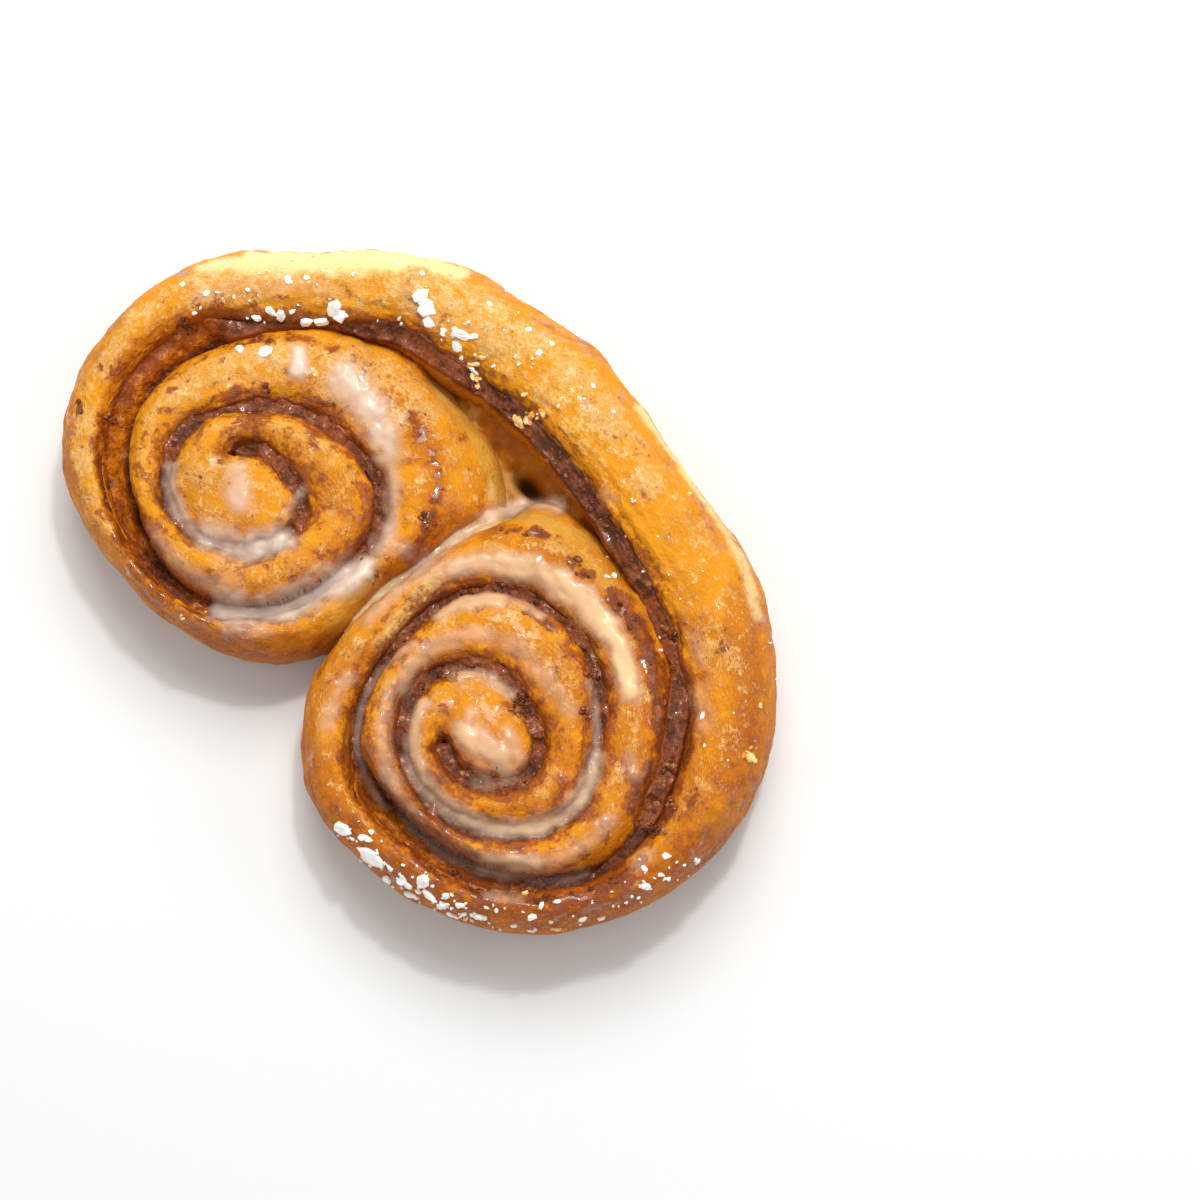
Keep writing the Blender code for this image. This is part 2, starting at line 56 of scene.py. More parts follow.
# ---- the strip, as in the part
FILLING_THICK = 1.4
CLEARANCE = 0.3
WALL_OFFSET = FILLING_THICK / 2 + CLEARANCE
STEP = 9
KNOT = 45
RIM_KNOT = 30
CREST_KNOT = 90
TURN = 360
ARCH_ANGLE = 630
FREE_ANGLE = 369
TIP_SLICES = 4

LEFT_HEART = -31.4
LEFT_START = -162
LEFT_FILLING = (11.6, 11.2, 8.9, 8.8, 7.7, 8.1, 9.8, 16.3, 20.5, 20.1, 20.9,
                23.2, 19.7, 19.3, 20.9, 24.0, 32.5, 37.3, 45.3)
LEFT_FILLING_FROM = -180
LEFT_RIM = (27.5, 27.7, 26.6, 26.7, 31.0, 40.5, 47.5, 52.4, 54.5, 65.2)
LEFT_FOOT = (44.3, 47.4)

RIGHT_HEART = 31.4
RIGHT_START = -315
RIGHT_FILLING = (8.3, 8.4, 8.8, 10.3, 9.5, 9.4, 13.4, 16.1, 16.1, 15.9, 17.4,
                 20.6, 20.4, 25.3, 29.1, 25.3, 24.6, 21.5, 24.8, 32.7, 36.2, 43.3)
RIGHT_FILLING_FROM = -315
RIGHT_RIM = (35.5, 36.1, 35.6, 32.7, 33.0, 36.9, 42.3, 50.4, 56.8, 63.0)
RIGHT_FOOT = (42.3, 49.0)

ARCH_INNER = (45.3, 48.4, 48.8, 46.6, 43.3)
ARCH_OUTER = (65.2, 68.6, 68.7, 65.5, 63.0)

SEAM_FROM = -5.0
SEAM_TO = 36.0
SEAM_X = (-4.0, -4.1, -2.7, -1.1, 2.4)
SEAM_GAP = 0.2
SEAM_TOP = 17.5
CORNER_ROUND = 1.5

LEFT_CREST = (27.5, 28.0, 27.5, 28.0, 27.0, 26.5, 26.5, 25.0, 23.5, 23.5, 26.0, 29.0)
RIGHT_CREST = (28.0, 28.0, 28.0, 27.5, 27.0, 28.0, 27.5, 25.5, 23.5, 24.5, 27.5, 29.5)
CREST_FROM = -360
ARCH_CREST = 30.5
CREST_REACH = 7.0
SIDE_HEIGHT = 13.0
FLOOR_ROUND = 4.5
WALL_ROUND = 1.5

INNER_DROP = ((-360, 4.2), (300, 4.2), (450, 5.0), (560, 5.5), (630, 6.0))
OUTER_DROP = ((-360, 4.4), (30, 4.6), (90, 6.0), (135, 7.0), (180, 8.0), (225, 11.0),
              (270, 15.0), (315, 14.0), (340, 10.5), (365, 10.5), (390, 11.5), (630, 16.0))
LEFT_LEAN = ((-360, 0.0), (400, 0.0), (460, 3.0), (555, 3.4), (590, 0.0))
RIGHT_LEAN = ((-360, 0.0), (400, 0.0), (440, 3.4), (480, 2.6), (540, 0.0))
LEAN_DEPTH = 9.0
# the crown overhangs the open groove here
LEFT_OVERHANG = ((570, 0.0), (597, 2.6), (606, 2.4), (626, 0.2))
RIGHT_OVERHANG = ((590, 0.0), (610, 2.2), (620, 2.2), (640, 0.4))

# ---- how finely the crust is drawn
STATIONS = 1330
CROWN_POINTS = 50
SIDE_POINTS = 13
INNER_WALL_POINTS = 4
FLOOR_POINTS = 4

# ---- relief of the crust: height of each kind, and the width that it repeats in
SWELL, SWELL_WIDTH = 0.45, 8.5
DENT, DENT_WIDTH = 0.26, 2.4
WRINKLE, ARCH_WRINKLE, WRINKLE_LENGTH, WRINKLE_WIDTH = 0.12, 0.16, 5.0, 1.15
CREASE, CREASE_LENGTH, CREASE_WIDTH = 1.2, 9.0, 2.2
LAYER, LAYER_PITCH = 0.12, 2.1
# width of the patches and of the mottles that its masks have
PATCHES, MOTTLES = 6.0, 2.2


# ---- numbers
def lerp(low, high, part):
    return low + (high - low) * part


def smoothstep(low, high, value):
    part = np.clip((value - low) / (high - low), 0.0, 1.0)
    return part * part * (3 - 2 * part)


def along(values, part):
    """Smooth curve through equally spaced values, part running 0 to 1."""
    values = np.asarray(values, float)
    place = np.clip(part, 0.0, 1.0) * (len(values) - 1)
    index = np.minimum(place.astype(int), len(values) - 2)
    t = place - index
    low, high = values[index], values[index + 1]
    slope_low = (high - values[np.maximum(index - 1, 0)]) / 2
    slope_high = (values[np.minimum(index + 2, len(values) - 1)] - low) / 2
    return (low * (2 * t ** 3 - 3 * t * t + 1) + high * (3 * t * t - 2 * t ** 3)
            + slope_low * (t ** 3 - 2 * t * t + t) + slope_high * (t ** 3 - t * t))


def by_angle(table, angle):
    """Smooth steps from one (angle, value) pair to the next."""
    result = np.full_like(angle, table[0][1], dtype=float)
    for (low, value_low), (high, value_high) in zip(table, table[1:]):
        result += (value_high - value_low) * smoothstep(low, high, angle)
    return result


class Noise:
    """Smooth seeded noise between -1 and 1 on a lattice that repeats."""

    SIZE = 32

    def __init__(self, seed):
        self.table = np.random.default_rng(seed).uniform(-1, 1, (self.SIZE,) * 3)

    def __call__(self, x, y, z=0.0):
        x, y, z = np.broadcast_arrays(x, y, z)
        corner = [np.floor(axis).astype(int) for axis in (x, y, z)]
        weight = [axis - base for axis, base in zip((x, y, z), corner)]
        weight = [w * w * w * (w * (w * 6 - 15) + 10) for w in weight]
        total = 0.0
        for a in (0, 1):
            for b in (0, 1):
                for c in (0, 1):
                    share = ((weight[0] if a else 1 - weight[0])
                             * (weight[1] if b else 1 - weight[1])
                             * (weight[2] if c else 1 - weight[2]))
                    total = total + share * self.table[(corner[0] + a) % self.SIZE,
                                                       (corner[1] + b) % self.SIZE,
                                                       (corner[2] + c) % self.SIZE]
        return total

    def layered(self, x, y, z=0.0, octaves=3):
        total, size = 0.0, 1.0
        for octave in range(octaves):
            scale = 2.0 ** octave
            total = total + size * self(x * scale + 7.3 * octave, y * scale, z * scale)
            size *= 0.55
        return total


LUMPS = Noise(3)
GRAIN = Noise(11)
PATCH = Noise(23)


# ---- the strip
def seam_x(y):
    return along(SEAM_X, (y - SEAM_FROM) / (SEAM_TO - SEAM_FROM))


@dataclass
class Roll:
    """One spiral roll.  side is +1 for the left roll and -1 for its mirror twin."""

    side: int
    heart: float
    start: int
    filling: tuple
    filling_from: int
    rim: tuple
    foot: tuple
    crest: tuple
    lean: tuple
    overhang: tuple

    def point(self, angle, radius):
        turn = np.radians(angle)
        return np.stack((self.heart + self.side * radius * np.cos(turn),
                         -radius * np.sin(turn)), -1)

    def filling_radius(self, angle):
        span = KNOT * (len(self.filling) - 1)
        return along(self.filling, (angle - self.filling_from) / span)

    def crest_height(self, angle):
        span = CREST_KNOT * (len(self.crest) - 1)
        return along(self.crest, (angle - CREST_FROM) / span)

    def seam_radius(self, angle):
        turn = np.radians(angle)
        radius = np.full_like(angle, abs(self.heart), dtype=float)
        for _ in range(20):
            reach = (seam_x(-radius * np.sin(turn)) - self.heart) * self.side
            radius = reach / np.maximum(np.cos(turn), 0.25)
        return radius - SEAM_GAP

    def outer_radius(self, angle):
        """Outer wall of the strip: next turn, foot of the flank, seam or rim."""
        rim = along(self.rim, (angle - TURN) / (RIM_KNOT * (len(self.rim) - 1)))
        turn_after = self.filling_radius(angle + TURN) - WALL_OFFSET
        foot = lerp(self.foot[0], self.foot[1], smoothstep(270, 306, angle))
        seam = self.seam_radius(angle)
        corner = np.minimum(foot, seam) - CORNER_ROUND * np.exp(-abs(foot - seam) / CORNER_ROUND)
        flank = np.where(angle < 288, foot, corner)
        inner = np.where(angle <= ARCH_ANGLE - TURN, turn_after, flank)
        return lerp(inner, rim, smoothstep(FREE_ANGLE - 6, FREE_ANGLE + 4, angle))


LEFT = Roll(1, LEFT_HEART, LEFT_START, LEFT_FILLING, LEFT_FILLING_FROM, LEFT_RIM,
            LEFT_FOOT, LEFT_CREST, LEFT_LEAN, LEFT_OVERHANG)
RIGHT = Roll(-1, RIGHT_HEART, RIGHT_START, RIGHT_FILLING, RIGHT_FILLING_FROM, RIGHT_RIM,
             RIGHT_FOOT, RIGHT_CREST, RIGHT_LEAN, RIGHT_OVERHANG)


FIELDS = ("inner_x", "inner_y", "outer_x", "outer_y", "crest", "inner_top", "outer_top",
          "lean", "free", "angle", "roll")


def turn_stations(roll):
    """Cross-sections of one roll from the mouth of its heart to the arch."""
    angle = np.arange(roll.start, ARCH_ANGLE, 0.5)
    crest = roll.crest_height(angle) + 0.45 * np.sin(np.radians(angle * 3.3 + 40 * roll.side))
    free = smoothstep(FREE_ANGLE - 5, FREE_ANGLE + 27, angle)
    inner = roll.point(angle, roll.filling_radius(angle) + WALL_OFFSET
                       * smoothstep(roll.start, roll.start + STEP, angle))
    outer = roll.point(angle, roll.outer_radius(angle))
    bonded = crest - by_angle(OUTER_DROP, angle)
    lean = by_angle(roll.lean, angle) - by_angle(roll.overhang, angle)
    return np.column_stack((inner, outer, crest, crest - by_angle(INNER_DROP, angle),
                            lerp(bonded, SIDE_HEIGHT, free), lean, free, angle,
                            np.full_like(angle, roll.side)))


def heart_stations(roll):
    """Chords across the heart, from its far side to the mouth."""
    last = (TURN // STEP - TIP_SLICES) / 2
    index = np.arange(last - 0.12, -TIP_SLICES, -0.08)
    inner_angle = roll.start + STEP * np.maximum(index, 0.0)
    outer_angle = roll.start + TURN - STEP * (index + TIP_SLICES)
    swell = np.sqrt(1 - np.maximum(index / last * 2 - 1, 0.0) ** 2)
    crest = roll.crest_height(np.float64(roll.start))
    wall = crest - INNER_DROP[0][1]
    inner = roll.point(inner_angle, roll.filling_radius(inner_angle)
                       - WALL_OFFSET * np.clip(index, 0, 1))
    outer = roll.point(outer_angle, roll.filling_radius(outer_angle) - WALL_OFFSET)
    flat = np.full_like(index, wall)
    zero = np.zeros_like(index)
    return np.column_stack((inner, outer, lerp(wall, crest, swell), flat, flat, zero, zero,
                            zero + roll.start - TURN, zero + roll.side))


def arch_stations():
    part = np.arange(0.0, 1.0001, 0.01)
    x = lerp(LEFT_HEART, RIGHT_HEART, part)
    end_crest = lerp(LEFT_CREST[-1], RIGHT_CREST[-1], part)
    crest = lerp(end_crest, ARCH_CREST, np.sin(np.pi * part)) + 0.3 * np.sin(part * 17)
    one = np.ones_like(part)
    overhang = lerp(LEFT_OVERHANG[-1][1], by_angle(RIGHT_OVERHANG, np.float64(ARCH_ANGLE)), part)
    return np.column_stack((x, along(ARCH_INNER, part) + WALL_OFFSET, x, along(ARCH_OUTER, part),
                            crest, crest - INNER_DROP[-1][1], one * SIDE_HEIGHT, -overhang,
                            one, ARCH_ANGLE + 100 * part, 0 * one))


def strip_stations(count):
    """The whole strip as evenly spaced cross-sections: one row a station."""
    left = np.concatenate((heart_stations(LEFT), turn_stations(LEFT)))
    right = np.concatenate((heart_stations(RIGHT), turn_stations(RIGHT)))[::-1]
    rows = np.concatenate((left, arch_stations(), right))
    middle = rows[:, 0:2] * 0.35 + rows[:, 2:4] * 0.65
    step = np.linalg.norm(np.diff(middle, axis=0), axis=1)
    distance = np.concatenate(((0.0,), np.cumsum(step)))
    target = np.linspace(0.0, distance[-1], count)
    spaced = np.stack([np.interp(target, distance, rows[:, k]) for k in range(rows.shape[1])], -1)
    return {name: spaced[:, k] for k, name in enumerate(FIELDS)}, target


# ---- meshes
def linked(name, data):
    """Object with this data, in the scene."""
    item = bpy.data.objects.new(name, data)
    bpy.context.scene.collection.objects.link(item)
    return item


def placed_mesh(name, vertices, faces=(), fields=None):
    """Mesh from drawing-frame millimetres, with a value at each vertex for each field."""
    mesh = bpy.data.meshes.new(name)
    placed = (np.asarray(vertices, float) - CENTRE) * MM
    mesh.from_pydata(placed.tolist(), [], [tuple(face) for face in faces])
    for key, values in (fields or {}).items():
        layer = mesh.attributes.new(key, "FLOAT", "POINT")
        layer.data.foreach_set("value", np.asarray(values, np.float32).ravel())
    return mesh


def finish_piece(name, vertices, faces, material, replaced=None, attributes=None,
                 smooth=True):
    """Piece of the pastry; its vertices come in drawing-frame millimetres."""
    mesh = placed_mesh(name, vertices, faces, attributes)
    bm = bmesh.new()
    bm.from_mesh(mesh)
    bmesh.ops.recalc_face_normals(bm, faces=bm.faces)
    bm.to_mesh(mesh)
    bm.free()
    if smooth:
        mesh.shade_smooth()
    mesh.materials.append(material)
    return declare(name, mesh, replaced)


def declare(name, mesh, replaced=None):
    item = linked(name, mesh)
    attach(item, BODY)
    if replaced:
        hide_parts(replaced)
    return item


def grid_faces(rows, columns, wrap_columns=False):
    row = np.arange(rows - 1)[:, None]
    column = np.arange(columns if wrap_columns else columns - 1)[None, :]
    after = (column + 1) % columns
    low = row * columns
    high = (row + 1) * columns
    return np.stack(np.broadcast_arrays(low + column, low + after, high + after, high + column),
                    -1).reshape(-1, 4)


def grid_normals(points):
    """Normals of a (rows, columns, 3) grid whose columns run round the strip."""
    along_rows = np.gradient(points, axis=0)
    across = np.roll(points, -1, axis=1) - np.roll(points, 1, axis=1)
    normal = np.cross(along_rows, across)
    return normal / np.maximum(np.linalg.norm(normal, axis=-1, keepdims=True), 1e-9)


def crust_grid(stations):
    """Smooth cross-sections: (stations, points, 3), with what the masks need."""
    s = {key: value[:, None] for key, value in stations.items()}
    inner = np.stack((stations["inner_x"], stations["inner_y"]), -1)
    outer = np.stack((stations["outer_x"], stations["outer_y"]), -1)
    width = np.linalg.norm(outer - inner, axis=1)[:, None]
    middle = np.minimum(width / 2, CREST_REACH)
    lean = np.minimum(s["lean"], middle / 2)

    climb = np.linspace(0.0, 1.0, INNER_WALL_POINTS + 1)[None, :-1]
    knee = s["inner_top"] - LEAN_DEPTH
    wall_height = lerp(1.6, s["inner_top"], climb)
    wall_across = lean * np.clip((wall_height - knee) / LEAN_DEPTH, 0, 1)

    bend = np.linspace(-1.0, 1.0, CROWN_POINTS)[None, :]
    bend = np.sign(bend) * np.abs(bend) ** 0.9 * np.pi / 2
    inward = bend < 0
    half = np.where(inward, middle - lean, width - middle)
    top = np.where(inward, s["inner_top"], s["outer_top"])
    crown_across = middle + half * np.sin(bend)
    crown_height = lerp(top, s["crest"], np.cos(bend))

    fall = np.linspace(0.0, 1.0, SIDE_POINTS + 1)[None, 1:]
    tuck = np.minimum(WALL_ROUND, width / 4)
    floor_tuck = lerp(tuck, FLOOR_ROUND, s["free"])
    side_height = s["outer_top"] * (1 - fall)
    low = np.clip(1 - side_height / np.minimum(s["outer_top"], 9.0), 0, 1)
    round_in = floor_tuck * (1 - np.sqrt(np.maximum(1 - low ** 2.4, 0.0)))
    side_across = width - round_in * np.where(s["free"] > 0.5, 1.0, smoothstep(0.6, 1.0, low))

    floor = np.linspace(0.0, 1.0, FLOOR_POINTS + 1)[None, 1:]
    floor_across = lerp(width - floor_tuck, tuck, floor)
    floor_height = np.zeros_like(floor_across)

    across = np.concatenate((wall_across, crown_across, side_across, floor_across), axis=1)
    height = np.concatenate((wall_height + 0 * wall_across, crown_height, side_height
                             + 0 * side_across, floor_height), axis=1)
    part = across / width
    x = lerp(inner[:, 0:1], outer[:, 0:1], part)
    y = lerp(inner[:, 1:2], outer[:, 1:2], part)
    points = np.stack((x, y, height), -1)
    return points, across, width


def make_crust(stations, distance):
    points, across, width = crust_grid(stations)
    rows, columns = points.shape[:2]
    free = stations["free"][:, None]
    normal = grid_normals(points)
    column = np.arange(columns)
    crown = smoothstep(INNER_WALL_POINTS, INNER_WALL_POINTS + 6, column)[None, :]
    crown = crown * (1 - smoothstep(columns - FLOOR_POINTS - 3, columns - FLOOR_POINTS - 1,
                                    column)[None, :])
    crown_end = INNER_WALL_POINTS + CROWN_POINTS
    open_side = np.where(column[None, :] >= crown_end, free, lerp(
        1 - smoothstep(crown_end - 6, crown_end, column)[None, :], 1.0, free))
    shown = crown * open_side
    z = points[..., 2]
    s = distance[:, None]
    arch = smoothstep(560, 640, stations["angle"])[:, None]

    swells = SWELL * LUMPS.layered(*(points / SWELL_WIDTH).T, 2).T
    dents = DENT * GRAIN.layered(*(points / DENT_WIDTH).T, 3).T
    wrinkles = GRAIN.layered(s / WRINKLE_LENGTH, across / WRINKLE_WIDTH, 3.7, 3)
    crowning = smoothstep(14, 24, z)
    ridges = np.abs(PATCH.layered(s / CREASE_LENGTH, across / CREASE_WIDTH, 9.1, 2))
    creases = -np.maximum(0.25 - ridges, 0.0)
    layers = np.sin(z * LAYER_PITCH + 1.6 * LUMPS(s / 14.0, z / 5.0, 1.0)) * smoothstep(24, 18, z)
    lift = (swells + dents * lerp(0.45, 1.0, crowning)
            + (WRINKLE + ARCH_WRINKLE * arch) * wrinkles * lerp(0.3, 1.0, crowning)
            + CREASE * creases * (0.5 + 0.5 * arch) * crowning + LAYER * layers * free)
    moved = points + normal * (shown * lift)[..., None]
    moved[..., 2] = np.maximum(moved[..., 2], 0.0)

    masks = crust_masks(moved, normal, stations, s, across, width)
    attributes = {key: capped(np.broadcast_to(values, (rows, columns)))
                  for key, values in masks.items()}
    vertices, faces = tube(moved)
    return finish_piece("baked_crust", vertices, faces, crust_finish(), "dough",
                        attributes)


def crust_masks(points, normal, stations, s, across, width):
    """What varies over the crust: how toasted, pale, stained and sandy it is.

    Caramel stains creep out of the grooves and sandy crumb keeps to what faces up.
    Painted light and shade: the rolls are palest where they face -x and +y, toward
    the key light, and the crust is paler toward -x and darker toward +x.
    """
    x, y, z = np.moveaxis(points, -1, 0)
    angle = stations["angle"][:, None]
    free = stations["free"][:, None]
    arch = smoothstep(560, 640, angle)
    up = np.clip(normal[..., 2], 0, 1)
    from_groove = np.maximum(across - np.minimum(stations["lean"][:, None], across), 0)
    near_groove = lerp(1.2, 1.0, arch) * np.exp(-from_groove / lerp(1.9, 1.0, arch))
    near_groove = near_groove * (1 - 0.55 * smoothstep(0.3, 2.6, stations["lean"][:, None]))
    near_next = np.exp(-np.maximum(width - across, 0) / 1.7) * (1 - free) * (angle < 215)
    patchy = PATCH.layered(x / PATCHES, y / PATCHES, z / PATCHES, 3)
    mottled = GRAIN.layered(x / MOTTLES, y / MOTTLES, z / MOTTLES, 3)
    stain = near_groove + 0.85 * near_next + 0.25 * mottled
    roll = 1 - arch
    smeared = painted(CARAMEL_SMEARS, x, y, 0.6) * (0.75 + 0.5 * mottled)
    nutty = painted(NUT_SMEARS, x, y, 0.8) * (0.8 + 0.7 * mottled)
    # Painted light: surfaces that face the key light, toward -x and +y, get less toast and more sand
    # below, so they look lit.
    faces_key_light = smoothstep(-0.3, 0.6, 0.7 * normal[..., 1] - 0.7 * normal[..., 0])
    # Browning at random and along the listed trails, more on slopes; with painted light and shade:
    # less where a surface faces the key light or lies far toward -x, more toward +x.
    toast = (0.02 + roll * (0.48 - 0.30 * faces_key_light) + 0.30 * (1 - up) + 0.24 * patchy
             + 0.14 * mottled + 0.6 * painted(TOASTED_AND_SHADED, x, y, 0.5)
             + 0.20 * smoothstep(10.0, 42.0, x) - 0.25 * smoothstep(-35.0, -60.0, x))
    # The arch's sandy crumb, fading toward +x, with painted light: more sand toward -x, the key
    # light's side.
    sandy_and_lit_side = (arch * smoothstep(32.0, 4.0, x) + 0.6 * roll * smoothstep(0.0, -35.0, x)
           + 0.5 * smoothstep(-35.0, -60.0, x))
    # Sandy crumb where the crust faces up, with a painted sheen where it faces the key light.
    sand = smoothstep(0.50, 0.95, up) * (0.12 + 0.44 * sandy_and_lit_side + 0.42 * faces_key_light + 0.32 * patchy)
    side = smoothstep(15, 9, z) * free * 0.25
    return {
        "toast": np.clip(toast, 0, 1),
        "stain": np.clip(np.maximum(stain, smeared), 0, 1.3),
        "nutty": np.clip(nutty, 0, 1),
        "pale": np.clip(side + painted(PALE_DOUGH_PLACES, x, y, 0.4), 0, 1),
        "yellow": painted(YELLOW_SIDE, x, y, 0.45) * smoothstep(15.5, 20.5, z + 1.5 * patchy),
        "sand": np.clip(sand, 0, 1),
        "up": up,
        "strip_s": s / 100.0 + 0 * across,
        "strip_w": across / 100.0,
    }


# ---- where things lie on the strip
# A trail runs over the strip: (where, from, offset, one step or more), a step
# being (to, offset, half width, strength).  On a roll, from and to are angles and
# the offsets are measured outward from the line of the filling; on the arch they
# are parts of its length and offsets from its inner edge; "free" gives x and y.
L, R, A, FREE = "left", "right", "arch", "free"

CARAMEL_SMEARS = (
    (L, 533, 3.8, (508, 5.0, 1.5, 1.0), (476, 3.0, 1.5, 1.0), (425, 0.8, 1.4, 0.9)),
    (L, 283, 13.0, (308, 11.7, 1.2, 0.9), (332, 8.3, 1.3, 1.0)),
    (L, 222, 13.5, (250, 14.5, 1.6, 0.7)), (L, 562, 3.4, (574, 1.6, 1.5, 0.8)),
    (L, 425, 4.5, (455, 6.5, 0.9, 0.5)),
    (R, 435, 2.0, (462, 4.4, 2.0, 0.8), (500, 4.6, 1.9, 0.8), (540, 4.0, 2.0, 0.8)),
    (R, 540, 3.2, (575, 1.5, 1.7, 0.9)),
    (R, 274, 11.0, (251, 11.4, 2.4, 1.2), (225, 12.6, 2.8, 1.35), (200, 9.6, 2.6, 1.2)),
    (R, 312, 12.0, (296, 12.5, 1.6, 0.7)), (R, 412, 3.4, (445, 4.4, 1.6, 0.9)),
    (R, 476, 5.6, (520, 6.0, 1.2, 0.6)), (R, 346, 5.5, (380, 3.2, 0.8, 0.6)),
    (A, 0.0, 2.0, (1.0, 2.0, 0.9, 0.7)),
)
NUT_SMEARS = (
    (R, 290, 10.0, (262, 9.6, 2.0, 1.0), (236, 12.8, 1.6, 0.9)),
    (R, 311, 11.8, (297, 12.6, 1.5, 0.9)), (L, 533, 3.8, (520, 4.2, 1.3, 1.0)),
    (L, 515, 4.6, (500, 4.4, 1.2, 0.8)), (L, 565, 3.6, (560, 3.8, 1.3, 1.0)),
    (L, 218, 13.0, (236, 13.5, 1.3, 0.7)),
    (R, 470, 3.5, (515, 4.0, 1.5, 0.8), (548, 3.4, 1.4, 0.8)),
    (L, 308, 11.7, (322, 9.4, 1.2, 1.0)), (R, 566, 1.8, (556, 2.2, 1.4, 1.0)),
    (L, 526, 9.6, (523, 9.8, 1.0, 0.9)), (R, 300, -3.5, (285, -2.8, 1.0, 0.9)),
    (R, 204, 11.0, (190, 11.5, 1.1, 0.7)),
)
# Browned crust; the trail on the left roll's lower outer flank (430 to 395) and the one on the right
# roll's flank from 612 to 575 are painted shade.
TOASTED_AND_SHADED = (
    (L, 236, 13.0, (290, 13.5, 3.4, 1.0)), (L, 290, 13.0, (330, 9.0, 3.0, 0.9)),
    (R, 315, 11.0, (285, 10.0, 3.0, 1.0), (230, 10.5, 3.2, 1.0)),
    (L, 480, 3.0, (540, 3.5, 3.2, 0.8)), (R, 430, 3.0, (545, 3.6, 3.4, 0.9)),
    (L, 545, 5.0, (575, 4.0, 4.0, 0.6)), (R, 612, 13.0, (575, 12.0, 5.0, 0.7)),
    (R, 415, 7.0, (480, 9.0, 5.0, 0.75), (560, 8.0, 5.0, 0.7)),
    (L, 500, 10.0, (560, 12.0, 5.0, 0.4)), (L, 430, 8.5, (395, 8.0, 4.5, 0.9)),
)
PALE_DOUGH_PLACES = (
    (A, 0.06, -3.4, (0.2, -4.3, 2.4, 0.9), (0.44, -9.4, 2.6, 0.9)),
    (A, 0.72, -9.6, (0.97, -6.8, 2.5, 0.55)), (A, 0.56, -8.0, (0.72, -10.0, 2.6, 0.6)),
    (R, 284, 0.8, (262, 1.2, 1.6, 0.9)), (FREE, -6.5, 5.0, (-4.0, -5.0, 3.2, 0.8)),
    (FREE, 3.0, 12.0, (6.0, 26.0, 2.2, 0.4)),
    (FREE, -26.5, 42.5, (-14.0, 41.0, 2.2, 1.0), (-0.5, 35.0, 2.4, 1.0)),
    (FREE, 2.5, 34.5, (18.5, 41.5, 2.2, 0.9)),
)
YELLOW_SIDE = (
    (L, 572, 13.0, (583, 11.4, 2.6, 0.9), (594, 10.4, 4.2, 1.0), (605, 10.6, 4.4, 1.0),
     (614, 13.0, 4.0, 1.0), (624, 16.0, 2.8, 0.9)), (A, 0.60, 18.3, (0.97, 18.4, 1.9, 0.75)),
    (R, 630, 18.2, (610, 15.6, 1.5, 0.55)), (FREE, 3.0, 13.0, (4.6, -1.0, 2.6, 0.36)),
    (FREE, -3.5, 36.5, (-0.5, 33.0, 2.0, 0.5)), (FREE, -25.5, 42.6, (-19.0, 42.4, 1.8, 0.45)),
)
